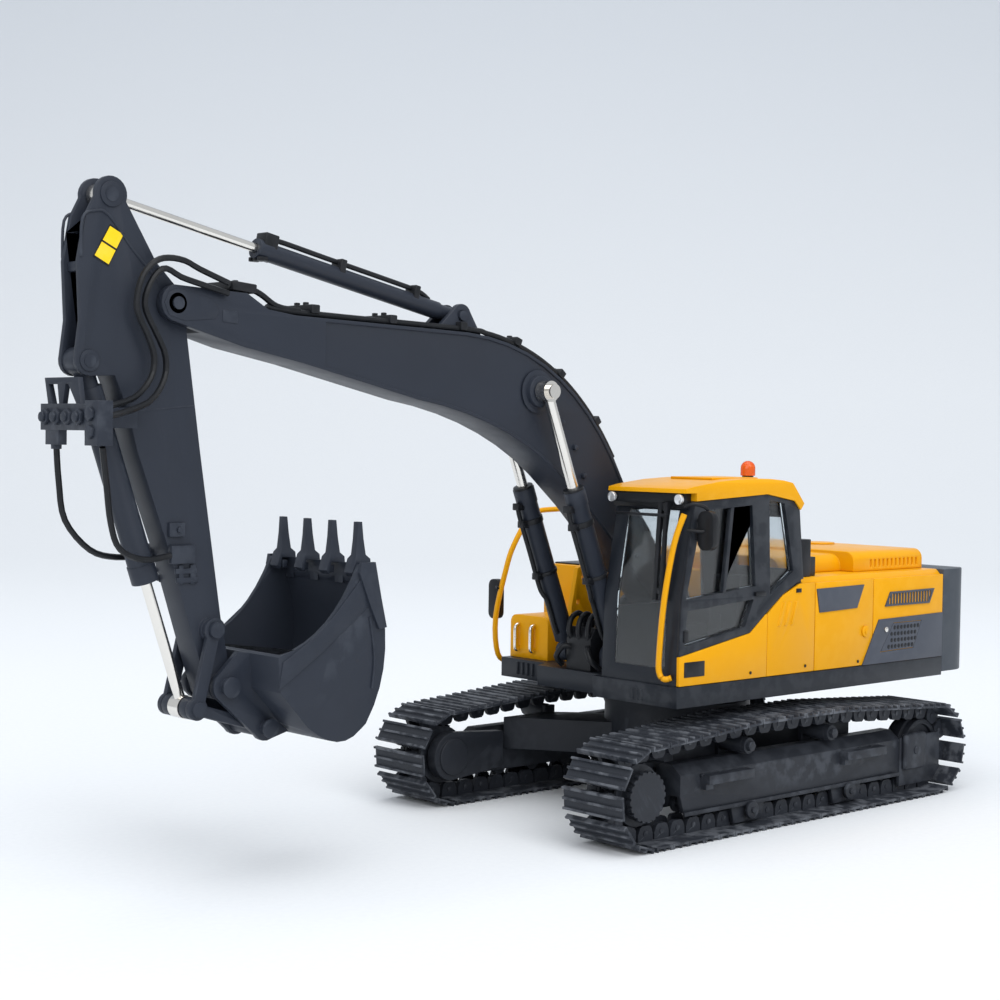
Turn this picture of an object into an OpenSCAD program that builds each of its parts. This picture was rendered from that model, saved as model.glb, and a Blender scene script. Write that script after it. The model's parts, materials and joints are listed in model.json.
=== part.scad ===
// Crawler excavator display model, 1:50, in millimetres.
// +X points forwards along the boom, +Y to the cab side, +Z up.
// The origin is on the swing axis, at the height of the ground.

/* [Undercarriage] */
// Distance between the centre lines of the two tracks
track_gauge = 47.6; // [44:0.2:58]
// Width of a track shoe
shoe_w = 13; // [10.5:0.5:16]
// Distance from the sprocket axle to the idler axle
wheel_base = 77; // [64:1:93]
// Distance of the sprocket axle ahead of the swing axis
sprocket_x = 38; // [34:1:46]
// Length of one track link
link_pitch = 3.82; // [3.2:0.02:4.6]
// Teeth of the sprocket, two to each link of the chain
sprocket_teeth = 21; // [19:2:23]
// Height of a link plate
link_h = 2.5; // [2:0.1:3]
// Thickness of a link plate
link_t = 0.8; // [0.6:0.1:1]
// Thickness of a shoe
shoe_t = 0.4; // [0.3:0.05:0.6]
// Height of the bars on a shoe
grouser_h = 0.45; // [0.3:0.05:0.6]
// Radius of a carrier roller
carrier_r = 1.5; // [1.1:0.05:1.8]
// Lift of the upper run over the carrier rollers
carrier_lift = 1.8; // [1:0.1:2.4]
// Radius of a lower track roller
roller_r = 1.7; // [1.3:0.1:1.8]
// Number of lower rollers on a side
roller_count = 7; // [5:1:8]
// Length of a track frame
frame_l = 60; // [48:1:62]
// Radius of a wheel axle
axle_r = 1.2; // [0.9:0.1:1.5]
// Radius of the swing pin
swing_pin_r = 3; // [2:0.25:4]
// Radius of the slewing ring
slew_r = 13.2; // [11:0.2:16]

/* [Upper body] */
// Width of the upper body over its side panels
body_w = 51.2; // [48:0.4:62]
// Height of the deck's lower face
deck_z = 21.3; // [21:0.1:26]
// Depth of the deck
deck_t = 3.5; // [2.8:0.1:4.4]
// Front edge of the cab side of the deck
front_x = 28.8; // [26:0.2:36]
// Front face of the counterweight
weight_x = -46; // [-56:0.5:-42]
// Depth of the counterweight
weight_l = 10.2; // [8:0.2:14]
// Height of the engine bay above the deck
bay_h = 16.5; // [13:0.5:20]
// Thickness of a side panel
panel_t = 0.7; // [0.5:0.1:1]
// Rise of the engine hood above the bay
hood_h = 3.7; // [2.6:0.1:5]

/* [Cab] */
// Inner side of the cab, measured from the centre line
cab_y = 8.2; // [8.2:0.1:10]
// Thickness of the cab's walls
cab_wall = 0.9; // [0.7:0.1:1.2]
// Thickness of the glass
glass_t = 0.4; // [0.3:0.05:0.5]

/* [Boom] */
// Width of the boom
boom_w = 7.8; // [6.6:0.2:8]
// Boom tip, ahead of the swing axis
tip_x = 110.2; // [92:0.2:132]
// Boom tip, above the ground
tip_z = 83; // [80:0.5:99]
// Radius of the boom foot pin
foot_pin_r = 1.5; // [1:0.1:1.8]
// Radius of the pin between boom and arm
tip_pin_r = 0.9; // [0.7:0.05:1.1]
// Depth of the sunk panels in the boom's sides
panel_sink = 0.35; // [0.2:0.05:0.5]

/* [Arm] */
// Width of the arm
arm_w = 4.8; // [4:0.1:5.4]
// Height of the boom tip above the bucket pin
arm_drop = 54.5; // [46:0.5:65]
// Thickness of the arm's fork plates
fork_t = 0.8; // [0.6:0.1:1]
// Radius of the pins of the bucket linkage
link_pin_r = 0.8; // [0.6:0.05:0.9]

/* [Bucket] */
// Width of the bucket
bucket_w = 22.6; // [18:0.2:28]
// Thickness of the bucket's plates
bucket_wall = 0.7; // [0.5:0.05:1]
// Number of teeth
tooth_count = 4; // [3:1:6]
// Length of a tooth above the lip
tooth_l = 6.3; // [4:0.1:8]

/* [Cylinders] */
// Radius of a boom cylinder's barrel
boom_cyl_r = 1.75; // [1.4:0.05:1.8]
// Radius of a boom cylinder's rod
boom_rod_r = 0.95; // [0.7:0.05:1.1]
// Distance of a boom cylinder from the centre line
boom_cyl_y = 6.15; // [6:0.05:6.2]
// Radius of the arm cylinder's barrel
arm_cyl_r = 1.4; // [1.1:0.05:1.7]
// Radius of the arm cylinder's rod
arm_rod_r = 0.7; // [0.5:0.05:0.9]
// Radius of the bucket cylinder's barrel
bucket_cyl_r = 1.85; // [1.4:0.05:2]
// Radius of the bucket cylinder's rod
bucket_rod_r = 0.8; // [0.6:0.05:1]
// Radius of a hose
hose_r = 0.45; // [0.3:0.05:0.6]

/* [Fits] */
// Radial clearance of a turning pin
running = 0.05; // [0.03:0.01:0.08]
// Radial clearance of a pin that is fixed
seat = 0.01; // [0.005:0.005:0.02]
// Gap beside a moving plate
gap = 0.1; // [0.08:0.02:0.2]
// Play of the two open pivots in the bucket linkage
play = 0.5; // [0.45:0.05:0.6]

/* [Hidden] */
$fn = 32;

dark = "#3b3e49";
grey = "#5b5d61";
yellow = "#f2ab0c";
bright = "#d9d3c8";
black = "#1e1f22";
clear = "#9fb4c0";
amber = "#f06010";

// ---- shared shapes -------------------------------------------------------------------------

function unit(v) = v / norm(v);
function left_of(a, b) = let (d = unit(b - a)) [-d[1], d[0]];
function arc(c, r, a0, a1, n = 8) =
    [for (i = [0 : n]) let (a = a0 + (a1 - a0) * i / n) [c[0] + r * cos(a), c[1] + r * sin(a)]];
function bezier(p, q, r, n = 8) =
    [for (i = [0 : n]) let (t = i / n) (1 - t) * (1 - t) * p + 2 * t * (1 - t) * q + t * t * r];
// Moves an anticlockwise outline inwards by d
function inset(pts, d) =
    [for (i = [0 : len(pts) - 1])
        let (n = len(pts), a = left_of(pts[(i + n - 1) % n], pts[i]), b = left_of(pts[i], pts[(i + 1) % n]))
        pts[i] + d * (a + b) / (1 + a * b)];
// Moves an open path to its left by d
function beside(pts, d) =
    [for (i = [0 : len(pts) - 1])
        let (n = len(pts) - 1, a = left_of(pts[max(i - 1, 0)], pts[max(i, 1)]),
            b = left_of(pts[min(i, n - 1)], pts[min(i + 1, n)]))
        pts[i] + d * (a + b) / (1 + a * b)];
// A smooth curve through hand-picked points
function smooth(p, n = 3) =
    [for (i = [0 : len(p) - 2], k = [0 : n - 1])
        let (t = k / n, a = p[max(i - 1, 0)], b = p[i], c = p[i + 1], d = p[min(i + 2, len(p) - 1)])
        0.5 * (2 * b + (c - a) * t + (2 * a - 5 * b + 4 * c - d) * t * t + (3 * b - a - 3 * c + d) * t * t * t),
     p[len(p) - 1]];

module box(x, y, z) translate([x[0], y[0], z[0]]) cube([x[1] - x[0], y[1] - y[0], z[1] - z[0]]);
// An outline in X and Z, made solid from y0 to y1
module slab(y0, y1) translate([0, y1, 0]) rotate([90, 0, 0]) linear_extrude(y1 - y0) children();
// An outline in Y and Z, made solid from x0 to x1
module beam(x0, x1) translate([x0, 0, 0]) rotate([90, 0, 90]) linear_extrude(x1 - x0) children();
// A round bar along Y at the point c in X and Z
module bar(c, r, y0, y1) translate([c[0], y0, c[1]]) rotate([-90, 0, 0]) cylinder(r = r, h = y1 - y0);
module both_sides() {
    children();
    mirror([0, 1, 0]) children();
}
// Puts the Z axis on the line from a to b, in the plane at y
module aimed(a, b, y = 0) translate([a[0], y, a[1]]) rotate([0, atan2(b[0] - a[0], b[1] - a[1]), 0]) children();
module at(c) translate([c[0], c[1], 0]) children();

function ring(p, t, r, n) =
    let (u = unit(cross(t, abs(unit(t)[1]) < 0.8 ? [0, 1, 0] : [1, 0, 0])), v = cross(unit(t), u))
    [for (k = [0 : n - 1]) p + r * (cos(360 * k / n) * u + sin(360 * k / n) * v)];
// A tube along a path of points in space
module tube(path, r, n = 8) {
    last = len(path) - 1;
    points = [for (i = [0 : last]) each ring(path[i], path[min(i + 1, last)] - path[max(i - 1, 0)], r, n)];
    walls = [for (i = [0 : last - 1], k = [0 : n - 1]) let (a = i * n, b = a + n, m = (k + 1) % n)
        each [[a + k, b + k, b + m], [a + k, b + m, a + m]]];
    polyhedron(points, concat(walls, [[for (k = [0 : n - 1]) k]], [[for (k = [n - 1 : -1 : 0]) last * n + k]]));
}

// ---- undercarriage -------------------------------------------------------------------------

wrap_r = sprocket_teeth * link_pitch / 2 / (2 * PI);
sole = link_h / 2 + shoe_t + grouser_h;
axle_z = wrap_r + sole;
track_y = track_gauge / 2;
idler_x = sprocket_x - wheel_base;
carrier_front_x = sprocket_x - wheel_base * 0.335;
carrier_rear_x = sprocket_x - wheel_base * 0.628;
top_z = axle_z + wrap_r;
run_z = top_z + carrier_lift;
rail_r = wrap_r - link_h / 2;
link_gap_y = 1.4;
link_out_y = link_gap_y + link_t;
frame_front_x = sprocket_x - 9;
frame_rear_x = frame_front_x - frame_l;
frame_low_z = sole + link_h / 2 + 1.1;
carrier_z = run_z - link_h / 2 - carrier_r;
frame_top_z = carrier_z - carrier_r - 0.17;
frame_mid_z = frame_top_z - 1.6;
frame_in_y = link_out_y + 0.1;
frame_out_y = frame_in_y + 0.8;

wheel_corners = [[sprocket_x, sole], [idler_x, sole], [idler_x, top_z], [carrier_rear_x, run_z],
    [carrier_front_x, run_z], [sprocket_x, top_z]];
rear_ramp = norm(wheel_corners[3] - wheel_corners[2]);
flat_run = norm(wheel_corners[4] - wheel_corners[3]);
front_ramp = norm(wheel_corners[5] - wheel_corners[4]);
half_turn = PI * wrap_r;
loop_l = wheel_base + rear_ramp + flat_run + front_ramp + 2 * half_turn;
shoe_count = round(loop_l / link_pitch);
shoe_step = loop_l / shoe_count;

// A place on the chain: its point and the direction that faces away from the loop
function on_line(a, b, s) = [a + s * unit(b - a), left_of(a, b)];
function on_wheel(x, a0, s) = let (a = a0 - s / wrap_r * 180 / PI, d = [cos(a), sin(a)]) [[x, axle_z] + wrap_r * d, d];
function station(s) =
    let (c = wheel_corners, s1 = s - wheel_base, s2 = s1 - half_turn, s3 = s2 - rear_ramp, s4 = s3 - flat_run,
        s5 = s4 - front_ramp)
    s1 < 0 ? on_line(c[0], c[1], s)
    : s2 < 0 ? on_wheel(idler_x, 270, s1)
    : s3 < 0 ? on_line(c[2], c[3], s2)
    : s4 < 0 ? on_line(c[3], c[4], s3)
    : s5 < 0 ? on_line(c[4], c[5], s4)
    : on_wheel(sprocket_x, 90, s5);

module along_chain() {
    for (i = [0 : shoe_count - 1]) {
        place = station((i + 0.5) * shoe_step);
        translate([place[0][0], 0, place[0][1]]) rotate([0, atan2(place[1][0], place[1][1]), 0]) children();
    }
}

module track_shoes() {
    half = shoe_step / 2 - 0.05;
    low = link_h / 2;
    bar_w = 0.4;
    mid = half / 2 + 0.25;
    profile = [[-half, low], [half, low], [half, sole], [half - bar_w, sole], [half - bar_w, low + shoe_t],
        [bar_w / 2, low + shoe_t], [bar_w / 2, sole], [-bar_w / 2, sole], [-bar_w / 2, low + shoe_t],
        [bar_w - half, low + shoe_t], [bar_w - half, sole], [-half, sole]];
    color(grey) translate([0, track_y, 0]) along_chain() slab(-shoe_w / 2, shoe_w / 2) polygon(profile);
}

module track_links() {
    h = link_h / 2;
    foot = link_pitch * 0.45;
    plate = [[-foot, h], [-foot, 0.1 * h], [-0.76 * foot, -0.75 * h], [-0.5 * foot, -h], [0.5 * foot, -h],
        [0.76 * foot, -0.75 * h], [foot, 0.1 * h], [foot, h]];
    color(dark) translate([0, track_y, 0]) along_chain() {
        both_sides() slab(link_gap_y, link_out_y) difference() {
            polygon(plate);
            circle(0.5);
        }
        bar([0, 0], 0.5, -link_out_y - 0.1, link_out_y + 0.1);
    }
}

module track_frame() {
    chamfer = 1.2;
    outline = [[-frame_out_y, frame_low_z], [-frame_in_y, frame_low_z], [-frame_in_y, frame_low_z + 2.7],
        [frame_in_y, frame_low_z + 2.7], [frame_in_y, frame_low_z], [frame_out_y, frame_low_z],
        [frame_out_y, frame_mid_z], [frame_in_y - chamfer, frame_top_z], [chamfer - frame_in_y, frame_top_z],
        [-frame_out_y, frame_mid_z]];
    step_z = frame_low_z + 3.5;
    color(dark) translate([0, track_y, 0]) {
        difference() {
            beam(frame_rear_x, frame_front_x) polygon(outline);
            // Sloped nose under the sprocket
            slab(-10, 10) polygon([[frame_front_x - 1.3, frame_low_z - 1], [frame_front_x + 1, frame_low_z - 1],
                [frame_front_x + 1, frame_low_z + 6]]);
        }
        for (x = [frame_front_x - 16.4, frame_rear_x + 6.4]) {
            box([x, x + 11.4], [frame_out_y, frame_out_y + 1.9], [step_z + 0.9, step_z + 2.4]);
            box([x + 9.6, x + 11.4], [frame_out_y, frame_out_y + 1.2], [step_z, step_z + 0.9]);
        }
        for (x = [frame_front_x - 17, frame_rear_x + 16])
            slab(frame_in_y + 0.1, frame_out_y + 0.1) difference() {
                polygon([[x - 4.4, frame_low_z], [x - 3.6, 1.2], [x + 3.6, 1.2], [x + 4.4, frame_low_z]]);
                at([x, 2.6]) circle(0.7);
            }
        for (x = [carrier_front_x, carrier_rear_x]) {
            bar([x, carrier_z], axle_r * 0.6, -frame_out_y, link_out_y);
            box([x - 1.2, x + 1.2], [-frame_out_y, -frame_in_y], [frame_mid_z, carrier_z + 1.2]);
        }
    }
}

module track_rollers() {
    roller_z = sole + link_h / 2 + running + roller_r;
    step = (frame_l - 9) / (roller_count - 1);
    color(dark) translate([0, track_y, 0]) for (i = [0 : roller_count - 1]) {
        c = [frame_rear_x + 4 + i * step, roller_z];
        bar(c, roller_r, link_gap_y, link_out_y);
        bar(c, roller_r, -link_out_y, -link_gap_y);
        bar(c, roller_r * 0.7, -link_gap_y, link_gap_y);
        bar(c, 0.6, -frame_in_y, frame_in_y);
    }
}

module final_drive() {
    c = [sprocket_x, axle_z];
    reach = frame_out_y + 2.6;
    color(dark) translate([0, track_y, 0]) {
        slab(-reach + 0.5, -frame_out_y) {
            at(c) circle(4.2);
            polygon([[frame_front_x - 3, c[1] + 3.4], c + [0, 4.2], c - [0, 4.2], [frame_front_x - 3, c[1] - 3]]);
        }
        bar(c, 3.2, -reach, -reach + 0.5);
        bar(c, 3.4, -frame_out_y, -link_out_y - 0.35);
        bar(c, axle_r, -link_out_y - 0.35, link_out_y);
    }
}

module idler_yoke() {
    c = [idler_x, axle_z];
    cheek = [[frame_rear_x, 2], [frame_rear_x, c[1] + 2.4], [idler_x - 4.6, c[1] + 2.4], [idler_x - 4.6, 4.4],
        [idler_x - 2.4, 2]];
    in_y = link_out_y + 0.3;
    color(dark) translate([0, track_y, 0]) {
        both_sides() slab(in_y, in_y + 0.8) polygon(cheek);
        box([frame_rear_x - 1.2, frame_rear_x], [-in_y, in_y], [4.4, c[1] + 2]);
        bar(c, axle_r, -in_y, in_y);
    }
}

module sprocket() {
    c = [sprocket_x, axle_z];
    face_y = frame_out_y + 1.3;
    color(dark) translate([0, track_y, 0]) difference() {
        union() {
            bar(c, rail_r - 1.3, -link_out_y, face_y - 1);
            slab(-0.9, 0.9) at(c) {
                circle(rail_r - 0.6);
                for (i = [0 : sprocket_teeth - 1]) rotate(360 * i / sprocket_teeth)
                    polygon([[rail_r - 1, -0.55], [rail_r + 0.4, -0.25], [rail_r + 0.4, 0.25], [rail_r - 1, 0.55]]);
            }
            both_sides() bar(c, rail_r - gap, link_gap_y + 0.2, link_out_y);
            slab(face_y - 1, face_y) at(c) difference() {
                circle(rail_r - 1);
                for (i = [0 : sprocket_teeth - 1]) rotate(360 * i / sprocket_teeth) translate([rail_r - 1, 0]) circle(0.28, $fn = 8);
            }
        }
        bar(c, axle_r + running, -link_out_y - 1, link_out_y + 0.1);
    }
}

module idler() {
    c = [idler_x, axle_z];
    color(dark) translate([0, track_y, 0]) difference() {
        union() {
            bar(c, rail_r - gap, -link_out_y, link_out_y);
            bar(c, rail_r + 0.4, -0.9, 0.9);
            both_sides() bar(c, rail_r * 0.45, link_out_y, link_out_y + 0.2);
        }
        both_sides() difference() {
            bar(c, rail_r - 1, link_out_y - 0.6, link_out_y + 0.01);
            bar(c, rail_r * 0.45, 0, link_out_y + 1);
        }
        bar(c, axle_r + running, -link_out_y - 1, link_out_y + 1);
    }
}

module carrier(x) {
    c = [x, carrier_z];
    pin_r = axle_r * 0.6;
    color(dark) translate([0, track_y, 0]) difference() {
        union() {
            bar(c, carrier_r - gap, -link_out_y, link_out_y + 0.4);
            bar(c, carrier_r * 0.9, link_out_y + 0.4, link_out_y + 1.2);
            slab(link_out_y + 1.2, link_out_y + 1.9) at(c) circle(carrier_r * 0.62, $fn = 6);
        }
        bar(c, pin_r + running, -link_out_y - 1, link_out_y + 0.05);
    }
}

module car_body() {
    top = deck_z - 2.9;
    floor_z = frame_mid_z - 2.4;
    leg_y = track_y - frame_out_y;
    module leg() linear_extrude(top - floor_z - 4.4)
        polygon([[-1, 6], [12, 4], [16, 9], [24, leg_y], [13, leg_y], [4, 12], [-1, 12]]);
    color(dark) difference() {
        union() {
            translate([0, 0, floor_z]) cylinder(r = slew_r, h = top - floor_z, $fn = 48);
            both_sides() for (m = [0, 1]) mirror([m, 0, 0]) translate([0, 0, floor_z]) leg();
            translate([0, 0, top]) cylinder(r = slew_r - 0.6, h = 1.6, $fn = 48);
        }
        translate([0, 0, top - 4]) cylinder(r = swing_pin_r + seat, h = 9);
    }
}

module swing_pin() {
    head_z = deck_z + deck_t * 0.6;
    color(bright) {
        translate([0, 0, deck_z - 6.9]) cylinder(r = swing_pin_r, h = head_z + running - deck_z + 6.9);
        translate([0, 0, head_z + running]) cylinder(r = swing_pin_r + 1.3, h = deck_t * 0.4 - 2 * running);
    }
}

// ---- upper body ----------------------------------------------------------------------------

half_w = body_w / 2;
core_w = half_w - panel_t;
deck_top = deck_z + deck_t;
bay_z = deck_top + bay_h;
bay_front_x = -4;
foot = [5.5, deck_z + 14.7];
ram_base = [22.2, deck_z + 6.2];
ram_head = [40.3, deck_z + 51.3];
plate_y = 3.45;
plate_t = 0.8;

module deck_frame() {
    outline = [[front_x, half_w], [weight_x, half_w], [weight_x, -half_w], [15, -half_w], [17.4, -half_w + 3],
        [23, -half_w + 3], [23, -11], [front_x - 2.4, -9.5], [front_x - 2.4, cab_y - 2.4], [front_x, cab_y - 1.7]];
    color(grey) difference() {
        union() {
            translate([0, 0, deck_z]) linear_extrude(deck_t) polygon(outline);
            for (i = [-1 : 1]) box([front_x, front_x + 0.15], [16.6 + i, 17.1 + i], [deck_z + 0.6, deck_z + 2.4]);
            translate([0, 0, deck_z - 1.25]) difference() {
                cylinder(r = slew_r - 0.8, h = 1.25, $fn = 48);
                translate([0, 0, -1]) cylinder(r = slew_r - 4, h = 2, $fn = 48);
            }
        }
        translate([0, 0, deck_z - 1]) cylinder(r = swing_pin_r + running, h = deck_t + 2);
        translate([0, 0, deck_z + deck_t * 0.6]) cylinder(r = swing_pin_r + 1.3 + gap, h = deck_t);
    }
}

module boom_bracket() {
    color(dark) both_sides() slab(plate_y, plate_y + plate_t) difference() {
        union() {
            at(foot) circle(3.4);
            at(ram_base) circle(2.1);
            polygon([[1.4, deck_top], [24.2, deck_top], ram_base + [2, 0], ram_base + [0.6, 2], foot + [2.2, 2.5],
                foot + [-3.2, 1]]);
        }
        at(foot) circle(foot_pin_r + seat);
        at(ram_base) circle(1 + seat);
    }
}

module upper_pins() {
    color(bright) {
        bar(foot, foot_pin_r, -plate_y - plate_t - 0.3, plate_y + plate_t + 0.3);
        bar(ram_base, 1, -boom_cyl_y - 1.2, boom_cyl_y + 1.2);
        both_sides() bar(ram_base, 1.4, boom_cyl_y + 1.2, boom_cyl_y + 1.7);
    }
}

module counterweight() {
    rear_x = weight_x - weight_l;
    corner = 6;
    side = concat([[weight_x, half_w]], arc([rear_x + corner, half_w - corner], corner, 90, 170, 8),
        [[rear_x - 0.5, half_w - 12]]);
    outline = concat(side, [for (i = [len(side) - 1 : -1 : 0]) [side[i][0], -side[i][1]]]);
    color(grey) intersection() {
        translate([0, 0, deck_z]) linear_extrude(bay_z - deck_z) polygon(outline);
        slab(-half_w - 1, half_w + 1) polygon([[weight_x + 1, deck_z + 0.6], [weight_x + 1, bay_z + 1],
            [weight_x - 0.2, bay_z + 1], [weight_x - 0.2, bay_z], [rear_x + 1.6, bay_z], [rear_x - 1, bay_z - 1.8],
            [rear_x - 1, deck_z + 2.5], [rear_x + 1, deck_z + 0.6]]);
    }
}

module engine_bay() {
    edge = 0.9;
    wall = 1;
    outline = [[-core_w, deck_top], [core_w, deck_top], [core_w, bay_z - edge], [core_w - edge, bay_z],
        [edge - core_w, bay_z], [-core_w, bay_z - edge]];
    color(yellow) difference() {
        beam(weight_x, bay_front_x) polygon(outline);
        box([weight_x + wall, bay_front_x - wall], [wall - core_w, core_w - wall], [deck_top - 1, bay_z - wall]);
    }
}

seam_1 = -7;
seam_2 = -24;
module side_panels() {
    slit = 0.1;
    low = deck_top + slit;
    high = bay_z - 0.9;
    module panel(x0, x1) slab(core_w, half_w) polygon([[x0 + slit, low], [x1 - slit, low], [x1 - slit, high],
        [x0 + slit, high]]);
    color(yellow) {
        both_sides() {
            panel(weight_x, seam_2);
            panel(seam_2, seam_1);
        }
        mirror([0, 1, 0]) panel(seam_1, bay_front_x);
        slab(core_w, half_w) polygon([[seam_1 + slit, low], [front_x - 22.8, low], [front_x - 22.8, deck_top + 10.8],
            [front_x - 26.9, deck_top + 13.8], [front_x - 31.6, high], [seam_1 + slit, high]]);
        // Slanted ribs behind the door
        for (i = [0 : 2]) slab(half_w, half_w + 0.25) polygon([[2.7 - 1.7 * i, deck_top + 8.6],
            [3.4 - 1.7 * i, deck_top + 8.6], [2.1 - 1.7 * i, deck_top + 12.6], [1.4 - 1.7 * i, deck_top + 12.6]]);
    }
}

module trim_plates() {
    low = deck_top + 0.1;
    module plate(pts) slab(half_w, half_w + 0.2) polygon(pts);
    grille = [[weight_x + 16, low + 7.2], [weight_x + 7.1, low + 7.2], [weight_x + 9.6, low + 2.2],
        [weight_x + 20, low + 2]];
    color(dark) both_sides() {
        plate([[seam_1 - 0.2, bay_z - 2], [seam_1 - 13.9, bay_z - 1.8], [seam_1 - 11.9, bay_z - 5.9],
            [seam_1 - 1.1, bay_z - 6.2]]);
        // Louvre: a frame with slats
        louvre = [[weight_x + 17.1, bay_z - 3.5], [weight_x + 3.2, bay_z - 3.4], [weight_x + 4.7, bay_z - 6.1],
            [weight_x + 18.6, bay_z - 6.1]];
        slab(half_w, half_w + 0.25) difference() {
            polygon(louvre);
            polygon(inset(louvre, 0.35));
        }
        slab(half_w, half_w + 0.2) intersection() {
            polygon(louvre);
            for (x = [weight_x + 3 : 0.9 : weight_x + 19]) translate([x, bay_z - 6.5]) square([0.4, 4]);
        }
        slab(half_w, half_w + 0.2) difference() {
            polygon([[weight_x + 20.4, low + 8], [weight_x + 0.3, low + 8.3], [weight_x + 0.3, low],
                [weight_x + 25.2, low]]);
            polygon(grille);
        }
        plate(inset(grille, 0.12));
    }
}

module engine_hood() {
    wide = 21;
    narrow = 18;
    slots = 12;
    function cover(w, h, r) = concat([[w, bay_z]], arc([w - r, bay_z + h - r], r, 0, 90, 5),
        arc([r - w, bay_z + h - r], r, 90, 180, 5), [[-w, bay_z]]);
    color(yellow) difference() {
        union() {
            beam(weight_x + 0.4, seam_2) polygon(cover(wide, hood_h, 1.8));
            beam(seam_2, seam_1 + 1) polygon(cover(narrow, hood_h - 0.6, 2.4));
        }
        for (i = [0 : slots - 1]) both_sides()
            box([weight_x + 2 + i * 1.3, weight_x + 2.6 + i * 1.3], [wide - 0.5, wide + 1], [bay_z + 0.7, bay_z + hood_h - 1.6]);
    }
}

module exhaust_stack() {
    y = core_w - 4.4;
    color(black) {
        box([bay_front_x - 3.6, bay_front_x - 1], [y, y + 3.4], [bay_z, bay_z + 6.6]);
        box([bay_front_x - 6, bay_front_x - 3.6], [y + 0.8, y + 2.6], [bay_z, bay_z + 3.4]);
        translate([seam_2 + 9, -core_w + 3.4, bay_z]) cylinder(r = 1.8, h = 2.4);
    }
}

tank_front_x = 9.5;
tool_front_x = 21;
module tank_and_toolbox() {
    module rounded(w0, w1, z0, z1, r) polygon(concat([[w0, z0], [w1, z0]], arc([w1 - r, z1 - r], r, 0, 90, 4),
        arc([w0 + r, z1 - r], r, 90, 180, 4)));
    color(yellow) {
        beam(bay_front_x + 0.1, tank_front_x) rounded(-half_w, -9.4, deck_top, bay_z, 1.2);
        beam(tank_front_x + 0.1, tool_front_x) rounded(-half_w + 3.2, -12.6, deck_top, deck_top + 7.8, 1.4);
        // Lug with two holes beside the boom
        slab(-10.8, -9.8) difference() {
            polygon([[tank_front_x + 0.05, deck_top], [18.4, deck_top], [17.8, deck_top + 10], [16.4, bay_z + 0.3],
                [14, bay_z + 1.2], [tank_front_x + 0.05, bay_z - 0.4]]);
            at([15, bay_z - 1.4]) circle(0.5);
            at([16.2, bay_z - 5.8]) circle(0.5);
        }
        // Two bar handles
        for (y = [-20, -16]) {
            for (z = [deck_top + 1.6, deck_top + 5.6])
                box([tool_front_x, tool_front_x + 0.9], [y - 0.25, y + 0.25], [z, z + 0.5]);
            box([tool_front_x + 0.4, tool_front_x + 0.9], [y - 0.25, y + 0.25], [deck_top + 2.1, deck_top + 5.6]);
        }
    }
}

module handrails() {
    x = front_x;
    // Beside the windscreen, then over the tank
    cab_rail = [[x - 0.3, half_w + 0.6, 53], [x + 0.5, half_w - 0.8, 48], [x + 0.8, half_w - 2.4, 39],
        [x + 0.8, half_w - 3.3, 30], [x + 0.7, half_w - 3.3, 27], [x + 0.5, half_w - 2.4, 26],
        [x - 0.1, half_w - 1.4, 26.3]];
    side_rail = [[13.4, -half_w - 0.45, 23.4], [17.6, -half_w - 0.6, 23.3], [20.6, -half_w - 0.6, 24.8],
        [21.3, -half_w - 0.6, 31.5],
        [19, -half_w - 0.6, 40], [16.9, -half_w - 0.6, 45], [12.5, -half_w - 0.6, 50.4], [7, -half_w - 0.6, 51.4],
        [0, -half_w - 0.6, 51], [-3, -half_w - 0.6, 48.6], [-3.6, -half_w - 0.6, 40]];
    color(yellow) {
        tube(smooth(cab_rail, 4), 0.5);
        tube(smooth(side_rail, 4), 0.5);
    }
}

module mirrors() {
    module head(x, y, z, w, h) translate([x, y, z]) rotate([90, 0, 90]) linear_extrude(1.2)
        let (r = w * 0.4, a = w / 2 - r, b = h / 2 - r)
            polygon(concat(arc([a, b], r, 0, 90, 4), arc([-a, b], r, 90, 180, 4),
                arc([-a, -b], r, 180, 270, 4), arc([a, -b], r, 270, 360, 4)));
    color(black) {
        head(front_x - 4.9, half_w + 2.2, 50.3, 3.4, 6.4);
        box([front_x - 4.6, front_x - 4], [half_w + 0.1, half_w + 0.7], [51.6, 52.2]);
        head(18.6, -half_w - 2.8, 34.8, 3, 7.4);
        box([19, 19.6], [-half_w - 1.4, -half_w - 1.15], [35, 35.6]);
    }
}

// ---- cab -----------------------------------------------------------------------------------

function cab(x, z) = [front_x + x, deck_top + z];
cab_out_y = core_w;
roof_line = [cab(-3.9, 30.2), cab(-22, 31.2), cab(-29.4, 30), cab(-31.1, 28.4)];
cab_profile = concat([cab(-32.5, 0), cab(-0.4, 0), cab(-0.9, 14), cab(-3.2, 27.2)], roof_line, [cab(-32.5, 16.6)]);
quarter_window = [cab(-29.6, 17.9), cab(-23.4, 14), cab(-22.7, 30.2), cab(-26.8, 29.6)];
door_window = [cab(-19.5, 15.7), cab(-1.9, 14.2), cab(-5.7, 28.6), cab(-18.2, 29.4)];
low_window = [cab(-16.9, 8.9), cab(-1.8, 6.6), cab(-2.3, 12.3), cab(-19.1, 13.5)];
inner_window = [cab(-25, 12), cab(-3, 12), cab(-5.6, 28), cab(-24, 29)];
screen_y = [cab_y + 2.8, cab_out_y - 2.6];
screen_z = [deck_top + 2.7, deck_top + 28.6];
rear_z = [deck_top + 18, deck_top + 27];

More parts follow.
